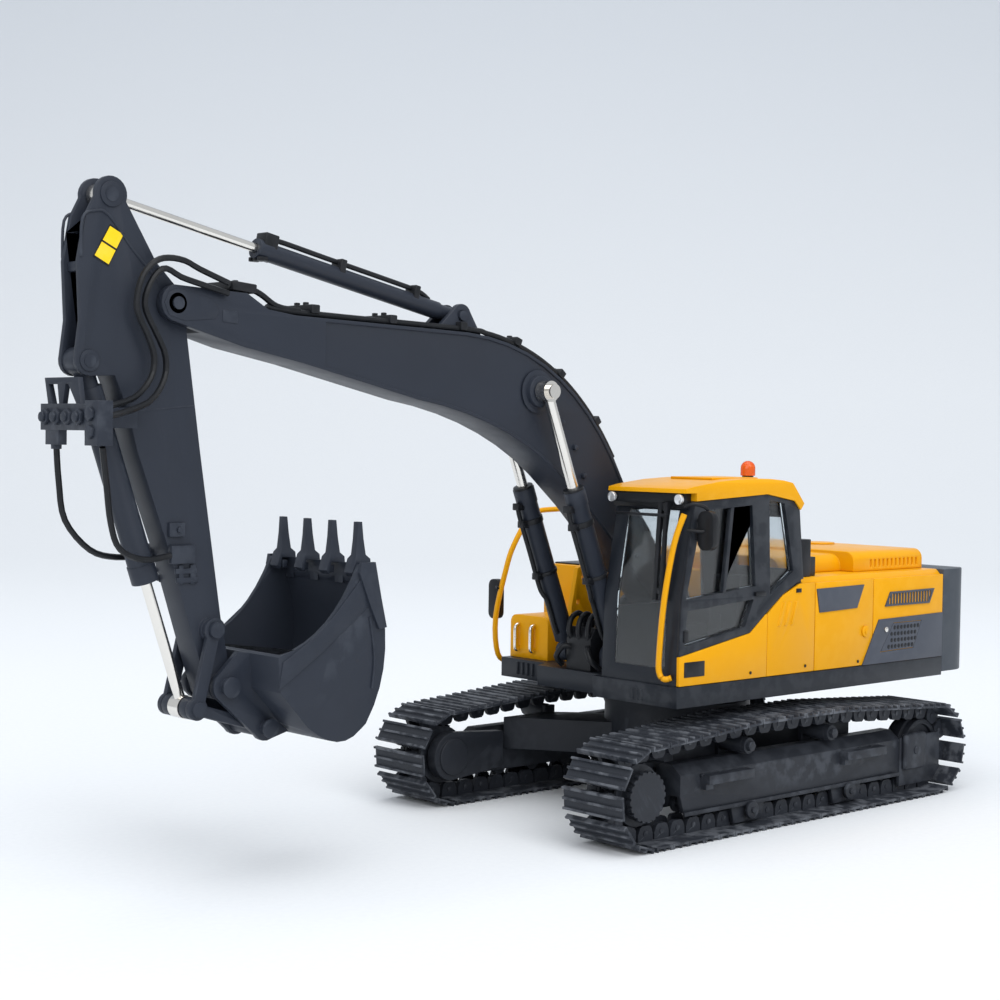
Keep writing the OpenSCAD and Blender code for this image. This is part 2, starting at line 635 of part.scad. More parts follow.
module cab_shell() {
    color(dark) difference() {
        slab(cab_y, cab_out_y) polygon(cab_profile);
        slab(cab_y + cab_wall, cab_out_y - cab_wall) polygon(inset(cab_profile, cab_wall));
        slab(cab_out_y - 2, cab_out_y + 1) for (w = [quarter_window, door_window, low_window]) polygon(w);
        slab(cab_y - 1, cab_y + 2) polygon(inner_window);
        box([front_x - 8, front_x + 1], screen_y, screen_z);
        box([front_x - 34, front_x - 28], screen_y, rear_z);
    }
}

module cab_door() {
    outline = [cab(-32.4, 16.4), cab(-31.6, 16.3), cab(-26.9, 14), cab(-22.3, 10.9), cab(-18.2, 7.9), cab(-0.5, 5),
        cab(-0.9, 14), cab(-3.2, 27.2), cab(-3.9, 30.1), cab(-22, 31.1), cab(-29.4, 29.9), cab(-31, 28.3)];
    color(dark) slab(cab_out_y, half_w - 0.1) difference() {
        polygon(outline);
        for (w = [quarter_window, door_window, low_window]) polygon(w);
    }
    color(dark) slab(cab_out_y, half_w) polygon([cab(-13.4, 29.1), cab(-12.6, 29), cab(-10.9, 15), cab(-11.7, 15.1)]);
}

// Painted plate below the door's window, from the front corner to the engine covers
module cab_side_plate() color(yellow) slab(cab_out_y, half_w) polygon([cab(-22.7, 0.1), cab(-0.5, 0.1),
    cab(-0.5, 4.9), cab(-18.3, 7.8), cab(-22.4, 10.8), cab(-22.7, 10.8)]);

module valve_block() {
    c = [ram_base[0] + 1.8, deck_top];
    color(black) difference() {
        union() {
            slab(-2.9, 2.9) polygon([c + [-4.4, 0], c + [1.8, 0], c + [1.8, 5.6], c + [0.6, 7.4], c + [-3, 7.4],
                c + [-4.4, 5.6]]);
            for (y = [-1.9, 0, 1.9]) translate([c[0] - 1.2, y, c[1] + 7.4]) cylinder(r = 0.6, h = 1.2);
        }
        bar(ram_base, 1 + seat, -4, 4);
    }
}

beacon = [0.5, 16];
beacon_seat_z = deck_top + 32.6;
module cab_roof() {
    edge = 1.3;
    low_z = deck_top + 28.4;
    high_z = deck_top + 34;
    profile = concat([cab(-31.1, 28.4), cab(-29.4, 30), cab(-22, 31.2), cab(-3.9, 30.2), cab(-3.9, 31.5), cab(-1.2, 31.5),
        cab(-1.3, 32.2), cab(-3.3, 32.6)], bezier(cab(-9.8, 33.4), cab(-24, 34.4), cab(-28.8, 33.1), 5), [cab(-32, 29.5)]);
    y0 = cab_y;
    y1 = half_w + 0.1;
    section = concat([[y0, low_z - 2], [y1, low_z - 2]], arc([y1 - edge, high_z - edge], edge, 0, 90, 4),
        arc([y0 + edge, high_z - edge], edge, 90, 180, 4));
    color(yellow) difference() {
        intersection() {
            slab(y0 - 1, y1 + 1) polygon(profile);
            beam(front_x - 40, front_x + 2) polygon(section);
        }
        translate([beacon[0], beacon[1], beacon_seat_z]) cylinder(r = 1.1, h = 9);
    }
}

lamp_y = [cab_y + 0.8, cab_out_y - 0.9];
module cab_header() {
    color(dark) slab(cab_y + 0.6, cab_out_y - 0.4) polygon([cab(-3.2, 28.9), cab(-2.2, 29), cab(-1.7, 29.8), cab(-1.7, 31.4),
        cab(-3.8, 31.4), cab(-3.8, 30.3)]);
    color(bright) for (y = lamp_y) translate([front_x - 1.7, y + 0.3, deck_top + 30.5]) rotate([0, 90, 0])
        cylinder(r = 0.75, h = 0.8);
}

module cab_glass() {
    fit = 0.03;
    color(clear) {
        slab(cab_out_y - 0.2 - glass_t, cab_out_y - 0.2) for (w = [quarter_window, door_window, low_window])
            polygon(inset(w, fit));
        slab(cab_y + 0.2, cab_y + 0.2 + glass_t) polygon(inset(inner_window, fit));
        intersection() {
            slab(screen_y[0] + fit, screen_y[1] - fit) difference() {
                polygon(inset(cab_profile, 0.15));
                polygon(inset(cab_profile, 0.15 + glass_t));
            }
            union() {
                box([front_x - 8, front_x + 1], screen_y, screen_z + [fit, -fit]);
                box([front_x - 34, front_x - 29], screen_y, rear_z + [fit, -fit]);
            }
        }
    }
}

module cab_seat() {
    mid = (cab_y + cab_out_y) / 2;
    floor_z = deck_top + cab_wall;
    color(black) {
        slab(mid - 3, mid + 3) polygon([[4, floor_z], [12.4, floor_z], [12.6, floor_z + 5.2], [8, floor_z + 5.6],
            [6.4, floor_z + 16], [3.6, floor_z + 16], [4.4, floor_z + 5]]);
        for (y = [mid - 5.4, mid + 3.8]) {
            box([6, 15], [y, y + 1.6], [floor_z, floor_z + 7.4]);
            translate([13.8, y + 0.8, floor_z + 7.4]) cylinder(r = 0.35, h = 2.6);
        }
        for (y = [mid - 1.4, mid + 1.4]) translate([21, y, floor_z]) cylinder(r = 0.35, h = 9);
        box([19, 22.5], [mid - 2.6, mid + 2.6], [floor_z, floor_z + 0.4]);
    }
}

module cab_wiper() {
    color(black) {
        slab(20.2, 21) polygon([cab(-1.65, 29.9), cab(-0.6, 30), cab(-0.2, 25), cab(0.4, 14), cab(-0.2, 13.9), cab(-0.8, 25)]);
        slab(21.6, 22.2) polygon([cab(-1.65, 29.9), cab(-0.6, 30), cab(-0.2, 25), cab(0.4, 14), cab(-0.2, 13.9), cab(-0.8, 25)]);
        box([front_x - 0.4, front_x + 0.3], [21, 21.6], [deck_top + 15, deck_top + 16]);
        box([front_x - 1.4, front_x - 0.7], [21, 21.6], [deck_top + 28.6, deck_top + 29.8]);
    }
}

module beacon_base() color(black) translate([beacon[0], beacon[1], beacon_seat_z]) cylinder(r = 1, h = 1.5);
module beacon_lens() color(amber) translate([beacon[0], beacon[1], beacon_seat_z + 1.5]) {
    cylinder(r = 1.3, h = 1.3);
    translate([0, 0, 1.3]) intersection() {
        sphere(r = 1.3);
        cylinder(r = 2, h = 2);
    }
}

// ---- boom ----------------------------------------------------------------------------------

tip = [tip_x, tip_z];
stick_base = [55.8, tip_z + 1.3];
boom_y = boom_w / 2;
arm_y = arm_w / 2;
function from_tip(x, z) = tip + [x, z];
boom_outline = concat(
    arc(foot, 3.1, 135, 305, 10),
    [foot + [22.7, 17.3]],
    bezier([31.5, tip_z - 27], [44.5, tip_z - 15.3], [66, tip_z - 12.4], 8),
    [from_tip(-22, -7.6), from_tip(-11, -5.6)],
    arc(tip, 2.6, 285, 440, 8),
    [from_tip(-11.8, 2.1), from_tip(-15.5, 0), from_tip(-20.5, -0.6)],
    bezier([56, tip_z - 1.4], [32, tip_z - 2.5], [19, tip_z - 26], 10));

module boom() {
    panel = inset(boom_outline, 0.55);
    sink = boom_y - panel_sink;
    lug = [[stick_base[0] - 4.5, tip_z - 2.2], [stick_base[0] + 6.5, tip_z - 2.2], stick_base + [1.6, 1],
        stick_base + [-1.7, 0.8]];
    color(dark) difference() {
        union() {
            slab(-sink, sink) polygon(boom_outline);
            // Flanges stand proud of the webs along the middle of the boom
            slab(-boom_y, boom_y) intersection() {
                difference() {
                    polygon(boom_outline);
                    polygon(panel);
                }
                translate([12, foot[1]]) square([tip_x - 38, 80]);
            }
            // Cast ends
            slab(-boom_y, boom_y) intersection() {
                polygon(boom_outline);
                translate([tip_x - 26, foot[1]]) square([40, 80]);
            }
            bar(ram_head, 2.6, -boom_y - 0.95, boom_y + 0.95);
            both_sides() slab(1.3, 2.3) {
                polygon(lug);
                at(stick_base) circle(1.9);
            }
        }
        // The foot is narrow, to pass between the bracket plates
        both_sides() slab(plate_y - gap, boom_y + 1) at(foot) circle(12);
        // Fork for the arm
        box([tip_x - 4.6, tip_x + 5], [-arm_y - gap, arm_y + gap], [tip_z - 9, tip_z + 9]);
        bar(foot, foot_pin_r + running, -10, 10);
        bar(tip, tip_pin_r + seat, -10, 10);
        bar(stick_base, 0.8 + seat, -10, 10);
    }
}

module boom_pins() {
    color(bright) {
        bar(tip, tip_pin_r, -boom_y - 0.4, boom_y + 0.4);
        bar(stick_base, 0.8, -2.7, 2.7);
    }
}

module boom_hoses() {
    // The boom's back, from behind its tip down to the foot, a hose's width outside the plate
    last = len(boom_outline) - 1;
    outside = inset(boom_outline, -hose_r - 0.12);
    back = [for (i = [last - 12 : last - 1]) [outside[i][0], boom_y - 1, outside[i][1]]];
    color(black) both_sides() tube(smooth(back, 3), hose_r);
}

// A ram: the barrel turns on its base pin, and the rod slides in it
module barrel(base, head, y, l, r, rod_r, pin_r, eye_w, neck, bore_from) {
    difference() {
        union() {
            bar(base, r * 1.05, y - eye_w / 2, y + eye_w / 2);
            aimed(base, head, y) {
                cylinder(r = eye_w / 2, h = neck);
                translate([0, 0, neck]) cylinder(r = r, h = l - neck);
                translate([0, 0, l - 2.6]) cylinder(r = r * 1.07, h = 2.6);
            }
        }
        bar(base, pin_r + running, y - 5, y + 5);
        aimed(base, head, y) translate([0, 0, bore_from]) cylinder(r = rod_r + running, h = l);
    }
}

module rod(base, head, y, from, rod_r, eye_r, eye_w, hole_r) {
    l = norm(head - base);
    difference() {
        union() {
            aimed(base, head, y) translate([0, 0, from]) cylinder(r = rod_r, h = l - from);
            bar(head, eye_r, y - eye_w / 2, y + eye_w / 2);
        }
        bar(head, hole_r, y - 5, y + 5);
    }
}

ram_eye = 2.1;
module boom_barrel(side) color(dark)
    barrel(ram_base, ram_head, side * boom_cyl_y, 31, boom_cyl_r, boom_rod_r, 1, ram_eye, 2.4, 3.4);
module boom_rod() color(bright) {
    rod(ram_base, ram_head, boom_cyl_y, 12.5, boom_rod_r, 1.75, ram_eye, 0.01);
    bar(ram_head, 1.2, boom_cyl_y + ram_eye / 2, boom_cyl_y + ram_eye / 2 + 0.9);
}

// ---- arm -----------------------------------------------------------------------------------

stick_head = from_tip(9.8, 14.3);
curl_base = from_tip(13, -8.5);
guide = [tip_x - 6.7, tip_z - arm_drop + 8.3];
hinge = [tip_x - 8.7, tip_z - arm_drop];
link_end = hinge + [-6.9, -6.5];
knee = hinge + [4.8, -2.9];
fork_in_y = arm_y - fork_t;
boss_y = arm_y + 0.7;

arm_outline = concat(
    arc(hinge, 2.1, 175, 350, 8),
    [hinge + [3.4, 3.4], from_tip(0, -34.9), from_tip(5.4, -20.6), from_tip(6.8, -15.5), from_tip(9, -10.4)],
    arc(curl_base, 2.1, 265, 365, 5),
    [from_tip(14.4, -3), from_tip(14.8, 5), from_tip(13.7, 11.1)],
    arc(stick_head, 2.5, 350, 560, 14),
    [from_tip(2.6, 5.6), from_tip(-1, 2.1)],
    arc(tip, 2.3, 140, 190, 4),
    [from_tip(-2.5, -4), from_tip(-4.9, -20.5), hinge + [0, 10]]);

module arm() {
    color(dark) difference() {
        union() {
            slab(-arm_y, arm_y) polygon(arm_outline);
            bar(guide, 1.7, -boss_y, boss_y);
            bar(hinge, 1.9, -boss_y, boss_y);
        }
        // Gap for the arm cylinder's eye, open above and behind
        slab(-fork_in_y, fork_in_y) polygon([from_tip(0.6, 4.6), from_tip(9.6, 9.6), from_tip(16, 8.6), from_tip(18, 20),
            from_tip(-4, 20), from_tip(-4, 4.6)]);
        // Gap for the bucket cylinder's eye, open in front
        slab(-fork_in_y, fork_in_y) polygon([from_tip(10.2, -12), from_tip(18, -12), from_tip(18, 9), from_tip(11, 9)]);
        bar(tip, tip_pin_r + running, -10, 10);
        bar(guide, link_pin_r + seat, -10, 10);
        bar(hinge, link_pin_r + running, -10, 10);
        both_sides() {
            bar(stick_head, 1 + seat, 0.5, 5);
            bar(curl_base, 0.9 + seat, 0.5, 5);
        }
    }
}

module arm_pins() {
    color(dark) {
        both_sides() bar(stick_head, 1, fork_in_y - 0.05, arm_y + 0.3);
        bar(curl_base, 0.9, -arm_y - 0.3, arm_y + 0.3);
    }
    color(dark) {
        bar(guide, link_pin_r, -boss_y - 1.1, boss_y + 1.1);
        both_sides() bar(guide, 1.15, boss_y + 1.1, boss_y + 1.6);
    }
}

block_x = tip_x + 15.3;
block_z = tip_z - 18;
module hose_block() {
    z = block_z;
    color(dark) {
        box([block_x - 1, block_x + 0.7], [-5.4, 8], [z, z + 3.6]);
        box([block_x - 1.4, block_x + 0.9], [6.8, 10.2], [z - 2, z + 4]);
        // Two struts and a bar over the block
        beam(block_x - 0.9, block_x - 0.1) difference() {
            polygon([[-4.8, z + 3.5], [4, z + 3.5], [3.2, z + 7.2], [-5.8, z + 7.2]]);
            polygon([[-3.6, z + 3.6], [-1.8, z + 3.6], [-2.3, z + 6.3], [-4.7, z + 6.3]]);
            polygon([[-0.8, z + 3.6], [2.8, z + 3.6], [0.6, z + 6.3], [-0.1, z + 6.3]]);
        }
        // Straps back to the sides of the arm
        both_sides() {
            box([block_x - 5.4, block_x - 1], [arm_y + 0.9, arm_y + 1.5], [z + 0.4, z + 3.2]);
            box([block_x - 9, block_x - 5.4], [arm_y, arm_y + 1.5], [z + 0.4, z + 3.2]);
        }
        box([block_x - 0.8, block_x + 0.5], [-4.4, -0.8], [z - 2, z]);
    }
}

module arm_hoses() {
    y = boom_y + hose_r + 0.15;
    // Around the pin of the boom, then forwards to the block: ahead of the tip, across, above the tip
    outer = [[-8, y, 3.3], [-3.2, y, 4.9], [-0.7, y, 5.9], [2, y, 6.1], [4, y, 5.5], [5.7, y, 3.9], [6.6, y, 1.9],
        [7, y, -0.5], [6.5, y, -2.4], [5.2, y, -4.8], [4.1, y, -7.8], [4.9, y + 0.3, -10.8], [8.2, y + 1.4, -13.5],
        [block_x - tip_x - 1.65, y + 3.6, -14.8]];
    inner = [[-8, y, 1.8], [-3, y, 2.9], [-0.1, y, 3.6], [2.3, y, 4.6], [4, y, 3.7], [5.3, y, 1.5], [5.7, y, -0.4],
        [5.2, y, -2.1], [3.6, y, -4.8], [2.3, y, -7.6], [2.7, y + 0.3, -10.8], [6.2, y + 1.8, -14.1],
        [block_x - tip_x - 1.65, y + 4.4, -16.1]];
    plug = [[block_x - 0.2, -2.6, block_z - 2.1], [block_x - 0.6, -2.6, block_z - 7], [block_x - 1.6, -2.6, block_z - 12.4],
        [block_x - 5.6, -2.8, block_z - 16.6], [block_x - 10, -3, block_z - 17.8], [block_x - 14.6, -3, block_z - 17.6]];
    feed = [[block_x - 0.9, 8.4, block_z - 2.2], [block_x - 2.4, 6.9, block_z - 7], [block_x - 4.4, 4.8, block_z - 12.6],
        [block_x - 6.4, 3.9, block_z - 16.2], [block_x - 10.4, 3.5, block_z - 17.8], [block_x - 15, 3, block_z - 17.4]];
    color(black) {
        for (loop = [outer, inner]) tube(smooth([for (p = loop) [tip_x + p[0], p[1], tip_z + p[2]]], 3), hose_r);
        tube(smooth(plug, 4), hose_r);
        tube(smooth(feed, 4), hose_r);
    }
}

module arm_barrel() color(dark)
    barrel(stick_base, stick_head, 0, 39.5, arm_cyl_r, arm_rod_r, 0.8, 2.4, 3.6, 5.6);
module arm_rod() color(bright)
    rod(stick_base, stick_head, 0, 18, arm_rod_r, 1.7, 2 * fork_in_y - 3 * gap, 0.6);
module bucket_barrel() color(dark)
    barrel(curl_base, knee, 0, 32.4, bucket_cyl_r, bucket_rod_r, 0.9, 2 * fork_in_y - 3 * gap, 3.8, 5);

// ---- bucket linkage and bucket -------------------------------------------------------------

ear_in_y = boss_y + gap;
ear_t = 1;
guide_t = 0.9;
module bucket_rod() color(bright)
    rod(curl_base, knee, 0, 14, bucket_rod_r, 1.7, 2.6, link_pin_r - 0.1 + play);

// A flat link between two points in X and Z
module strap(a, b, ra, rb, waist) {
    across = left_of(a, b);
    at(a) circle(ra);
    at(b) circle(rb);
    polygon([a - waist * across, b - waist * across, b + waist * across, a + waist * across]);
}

module guide_links() color(dark) {
    both_sides() slab(ear_in_y, ear_in_y + guide_t) difference() {
        strap(guide, knee, 1.7, 1.6, 0.95);
        at(guide) circle(link_pin_r + running);
    }
    bar(knee, link_pin_r - 0.1, -ear_in_y, ear_in_y);
    both_sides() bar(knee, 1.1, ear_in_y + guide_t, ear_in_y + guide_t + 0.5);
}

module push_link() color(dark) difference() {
    slab(-boss_y, boss_y) strap(link_end, knee, 1.5, 1.6, 0.8);
    slab(-1.3 - gap, 1.3 + gap) strap(link_end + 0.35 * (knee - link_end), knee + 0.2 * (knee - link_end), 2, 2, 2.4);
    bar(link_end, link_pin_r + running, -10, 10);
    bar(knee, link_pin_r - 0.1 + play, -10, 10);
}

function from_hinge(x, z) = hinge + [x, z];
bucket_back = concat(
    bezier(from_hinge(-20.8, 17.3), from_hinge(-26.5, 3.5), from_hinge(-19.9, -6.3), 8),
    bezier(from_hinge(-19, -7), from_hinge(-15, -10.6), from_hinge(-9.2, -5.9), 6),
    [from_hinge(-4.3, -0.5), from_hinge(-3.9, 4.6)]);
bucket_mouth = bezier(from_hinge(-4.6, 4.9), from_hinge(-13.5, 6.9), from_hinge(-18.3, 17.4), 8);
bucket_half = bucket_w / 2;
lip = from_hinge(-19.6, 17.3);

module bucket_shell() difference() {
    slab(-bucket_half, bucket_half) polygon(concat(bucket_back, bucket_mouth));
    slab(bucket_wall - bucket_half, bucket_half - bucket_wall)
        polygon(concat(beside(bucket_back, bucket_wall), [from_hinge(-4.7, 9), from_hinge(-13, 24), from_hinge(-20, 24)]));
}

module bucket_teeth() {
    step = (bucket_w - 3.9) / (tooth_count - 1);
    for (i = [0 : tooth_count - 1]) {
        y = -bucket_half + 1.95 + i * step;
        intersection() {
            slab(y - 1, y + 1) polygon([lip + [-1.9, -2.6], lip + [-1.2, -3.2], lip + [-1.2, -0.01], lip + [1, -0.01],
                lip + [1.3, -1.8], lip + [1.9, -1.2], lip + [1.3, 0.8], lip + [0.9, 1.4], lip + [0.5, tooth_l],
                lip + [-0.2, tooth_l], lip + [-0.9, 1.4], lip + [-1.5, 0.8]]);
            beam(lip[0] - 9, lip[0] + 9) polygon([[y - 1, lip[1] - 4], [y + 1, lip[1] - 4], [y + 1, lip[1] + 0.8],
                [y + 0.65, lip[1] + 1.4], [y + 0.5, lip[1] + tooth_l * 0.6], [y + 0.6, lip[1] + tooth_l + 1],
                [y - 0.6, lip[1] + tooth_l + 1], [y - 0.5, lip[1] + tooth_l * 0.6], [y - 0.65, lip[1] + 1.4],
                [y - 1, lip[1] + 0.8]]);
        }
    }
}

module bucket() color(dark) {
    ear = concat(arc(hinge, 2.3, 300, 420, 5), [from_hinge(-1.9, 4.9), from_hinge(-4.2, 4.6), from_hinge(-4.4, -0.6),
        from_hinge(-9.3, -6), from_hinge(-11, -7.4)], arc(link_end, 2, 240, 330, 4));
    difference() {
        union() {
            bucket_shell();
            bucket_teeth();
            both_sides() {
                slab(ear_in_y, ear_in_y + ear_t) polygon(ear);
                slab(bucket_half, bucket_half + 0.6) polygon([lip + [-1.3, 0.4], lip + [-2.5, -5], lip + [-3.6, -9.4],
                    lip + [-2.2, -9.6], lip + [-0.6, -6.4], lip + [1.6, -1.2], lip + [1.3, 0.4]]);
                bar(hinge, 1.2, ear_in_y + ear_t, ear_in_y + ear_t + 0.5);
                bar(link_end, 1.1, ear_in_y + ear_t, ear_in_y + ear_t + 0.5);
            }
            bar(hinge, link_pin_r, -ear_in_y - 0.1, ear_in_y + 0.1);
            bar(link_end, link_pin_r, -ear_in_y - 0.1, ear_in_y + 0.1);
        }
    }
}

// ---- which node to draw --------------------------------------------------------------------

car_body();
track_frame();  // track_frame_left
mirror([0, 1, 0]) track_frame();  // track_frame_right
track_shoes();  // track_shoes_left
mirror([0, 1, 0]) track_shoes();  // track_shoes_right
track_links();  // track_links_left
mirror([0, 1, 0]) track_links();  // track_links_right
both_sides() track_rollers();
both_sides() final_drive();  // final_drives
both_sides() idler_yoke();  // idler_yokes
swing_pin();
sprocket();  // sprocket_left
mirror([0, 1, 0]) sprocket();  // sprocket_right
idler();  // idler_left
mirror([0, 1, 0]) idler();  // idler_right
carrier(carrier_front_x);  // carrier_front_left
carrier(carrier_rear_x);  // carrier_rear_left
mirror([0, 1, 0]) carrier(carrier_front_x);  // carrier_front_right
mirror([0, 1, 0]) carrier(carrier_rear_x);  // carrier_rear_right
deck_frame();
boom_bracket();
counterweight();
engine_bay();
side_panels();
trim_plates();
engine_hood();
exhaust_stack();
tank_and_toolbox();
handrails();
mirrors();
cab_shell();
cab_door();
cab_side_plate();
cab_roof();
cab_header();
cab_glass();
cab_seat();
cab_wiper();
beacon_base();
beacon_lens();
valve_block();
upper_pins();
boom();
boom_pins();
boom_hoses();
boom_barrel(1);  // boom_barrel_left
boom_barrel(-1);  // boom_barrel_right
boom_rod();  // boom_rod_left
mirror([0, 1, 0]) boom_rod();  // boom_rod_right
arm_barrel();
arm_rod();
arm();
arm_pins();
hose_block();
arm_hoses();
bucket_barrel();
bucket_rod();
guide_links();
push_link();
bucket();
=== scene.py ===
import json
import math

import bpy
from bpy.props import FloatProperty, FloatVectorProperty, PointerProperty
from mathutils import Matrix, Vector

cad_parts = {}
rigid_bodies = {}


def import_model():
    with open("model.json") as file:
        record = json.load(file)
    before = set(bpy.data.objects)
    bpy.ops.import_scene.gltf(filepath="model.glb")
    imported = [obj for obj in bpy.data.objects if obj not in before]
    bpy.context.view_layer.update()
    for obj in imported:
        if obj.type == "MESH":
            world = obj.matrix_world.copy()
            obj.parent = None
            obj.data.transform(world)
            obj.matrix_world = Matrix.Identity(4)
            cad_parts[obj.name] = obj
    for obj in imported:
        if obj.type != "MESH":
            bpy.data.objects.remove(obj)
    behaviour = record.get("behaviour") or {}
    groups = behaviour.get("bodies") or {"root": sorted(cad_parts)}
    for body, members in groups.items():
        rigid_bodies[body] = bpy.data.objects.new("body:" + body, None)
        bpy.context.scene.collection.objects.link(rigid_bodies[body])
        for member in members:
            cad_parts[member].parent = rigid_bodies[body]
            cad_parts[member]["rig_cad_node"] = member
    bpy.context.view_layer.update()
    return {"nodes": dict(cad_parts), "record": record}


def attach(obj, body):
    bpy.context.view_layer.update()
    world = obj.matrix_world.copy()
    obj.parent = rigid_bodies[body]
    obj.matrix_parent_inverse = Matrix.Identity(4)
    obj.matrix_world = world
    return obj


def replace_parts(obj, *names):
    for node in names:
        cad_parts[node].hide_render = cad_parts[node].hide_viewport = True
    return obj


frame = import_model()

bl_info = {
    "name": "Crawler excavator model",
    "version": (1, 0, 0),
    "blender": (4, 5, 0),
    "location": "View3D > Sidebar > Excavator",
    "description": "Finishes and small pieces for a display-scale crawler excavator",
    "category": "Object",
}

# Sizes below are in millimetres, as on the model's drawing. Blender works in metres.
MM = 0.001


# ---- settings --------------------------------------------------------------------------------

class ExcavatorPaint(bpy.types.PropertyGroup):
    """Colours of the model, linear"""
    dark: FloatVectorProperty(name="Dark paint", description="Boom, arm, bucket and cab frame",
                              subtype="COLOR", default=(0.021, 0.026, 0.038))
    chassis: FloatVectorProperty(name="Chassis paint", description="Tracks and track frames",
                                 subtype="COLOR", default=(0.020, 0.023, 0.030))
    grey: FloatVectorProperty(name="Grey paint", description="Deck edge and counterweight",
                              subtype="COLOR", default=(0.048, 0.057, 0.070))
    frame: FloatVectorProperty(name="Deck and cab frame", description="Deck edge, cab pillars and door",
                               subtype="COLOR", default=(0.013, 0.016, 0.022))
    yellow: FloatVectorProperty(name="Yellow paint", description="Covers, roof and rails",
                                subtype="COLOR", default=(0.760, 0.345, 0.002))
    bright: FloatVectorProperty(name="Bright metal", description="Piston rods and pins",
                                subtype="COLOR", default=(0.80, 0.77, 0.72))
    amber: FloatVectorProperty(name="Amber", description="Beacon lens",
                               subtype="COLOR", default=(0.95, 0.16, 0.01))


class ExcavatorSizes(bpy.types.PropertyGroup):
    """Sizes of the small pieces"""
    foot_hose: FloatProperty(name="Foot hose radius", description="Radius of the hoses at the rams' feet",
                             subtype="DISTANCE", default=0.5 * MM)
    tip_hose: FloatProperty(name="Tip hose radius", description="Radius of the hoses at the boom's tip",
                            subtype="DISTANCE", default=0.45 * MM)
    boom_ram_pipe: FloatProperty(name="Boom ram pipe radius", subtype="DISTANCE", default=0.42 * MM,
                                 description="Radius of the pipes on the boom rams")
    arm_ram_pipe: FloatProperty(name="Arm ram pipe radius", description="Radius of the pipe on the arm ram",
                                subtype="DISTANCE", default=0.4 * MM)
    bolt: FloatProperty(name="Bolt radius", description="Radius of a hexagon bolt on the boom and the arm",
                        subtype="DISTANCE", default=0.5 * MM)


class ExcavatorStage(bpy.types.PropertyGroup):
    """Camera and floor"""
    camera_place: FloatVectorProperty(name="Camera place", description="Where the camera stands",
                                      subtype="TRANSLATION", default=(0.2521, 0.2247, 0.0650))
    heading: FloatProperty(name="Heading", description="Compass direction that the camera looks in",
                           subtype="ANGLE", default=math.radians(-132.69))
    pitch: FloatProperty(name="Pitch", description="Tilt of the view above the horizon",
                         subtype="ANGLE", default=math.radians(-1.957))
    roll: FloatProperty(name="Roll", description="Turn of the picture about the view",
                        subtype="ANGLE", default=math.radians(0.894))
    lens: FloatProperty(name="Lens", description="Focal length in millimetres on a 36 mm sensor",
                        default=66.45)
    floor_reach: FloatProperty(name="Floor reach", description="Half width of the floor",
                               subtype="DISTANCE", default=2.5)


# ---- modelling helpers -----------------------------------------------------------------------

def size_of(key):
    """One of the small pieces' sizes, in millimetres."""
    return getattr(bpy.context.scene.excavator_sizes, key) / MM


def pick(*pieces):
    """Selects these pieces alone, the first one active."""
    if bpy.context.object and bpy.context.object.mode != "OBJECT":
        bpy.ops.object.mode_set(mode="OBJECT")
    bpy.ops.object.select_all(action="DESELECT")
    for piece in pieces:
        piece.select_set(True)
    bpy.context.view_layer.objects.active = pieces[0]


def settle(piece, name):
    """Names a new piece and puts its place into its mesh."""
    piece.name = piece.data.name = name
    pick(piece)
    bpy.ops.object.transform_apply(location=True, rotation=True, scale=True)
    return piece


def shape(piece, kind, **values):
    """Adds a modifier, sets its values and applies it."""
    pick(piece)
    modifier = piece.modifiers.new(kind.title(), kind)
    for key, value in values.items():
        setattr(modifier, key, value)
    bpy.ops.object.modifier_apply(modifier=modifier.name)
    return piece


def round_edges(piece, radius, segments=2, angle=32):
    """Rounds the sharp edges and shades the piece by angle; radius in metres."""
    if radius:
        shape(piece, "BEVEL", width=radius, segments=segments, limit_method="ANGLE",
              angle_limit=math.radians(angle), use_clamp_overlap=True)
    pick(piece)
    bpy.ops.object.shade_smooth_by_angle(angle=math.radians(38))
    return piece


def face_outwards(piece):
    """Merges doubles and turns every face outwards."""
    pick(piece)
    bpy.ops.object.mode_set(mode="EDIT")
    bpy.ops.mesh.select_all(action="SELECT")
    bpy.ops.mesh.remove_doubles(threshold=0.001 * MM)
    bpy.ops.mesh.normals_make_consistent(inside=False)
    bpy.ops.object.mode_set(mode="OBJECT")
    return piece


def block(name, low, high, edge=0.15, segments=2):
    """A box between two corners, with rounded edges."""
    low, high = Vector(low) * MM, Vector(high) * MM
    bpy.ops.mesh.primitive_cube_add(size=1, location=(low + high) / 2, scale=high - low)
    piece = settle(bpy.context.object, name)
    return round_edges(piece, edge * MM, segments)


def plate(name, outline, near, far, edge=0.1, along="Y"):
    """An outline pushed along an axis from near to far: X and Z for Y, Y and Z for X, X and Y for Z."""
    places = {"Y": lambda a, b: (a, near, b), "X": lambda a, b: (near, a, b), "Z": lambda a, b: (a, b, near)}
    push = {"Y": (0, 1, 0), "X": (1, 0, 0), "Z": (0, 0, 1)}
    bpy.ops.mesh.primitive_circle_add(vertices=len(outline), fill_type="NGON")
    piece = settle(bpy.context.object, name)
    for vertex, point in zip(piece.data.vertices, outline):
        vertex.co = Vector(places[along](*point)) * MM
    pick(piece)
    bpy.ops.object.mode_set(mode="EDIT")
    bpy.ops.mesh.select_all(action="SELECT")
    reach = Vector(push[along]) * (far - near) * MM
    bpy.ops.mesh.extrude_region_move(TRANSFORM_OT_translate={"value": reach})
    bpy.ops.object.mode_set(mode="OBJECT")
    face_outwards(piece)
    return round_edges(piece, edge * MM)


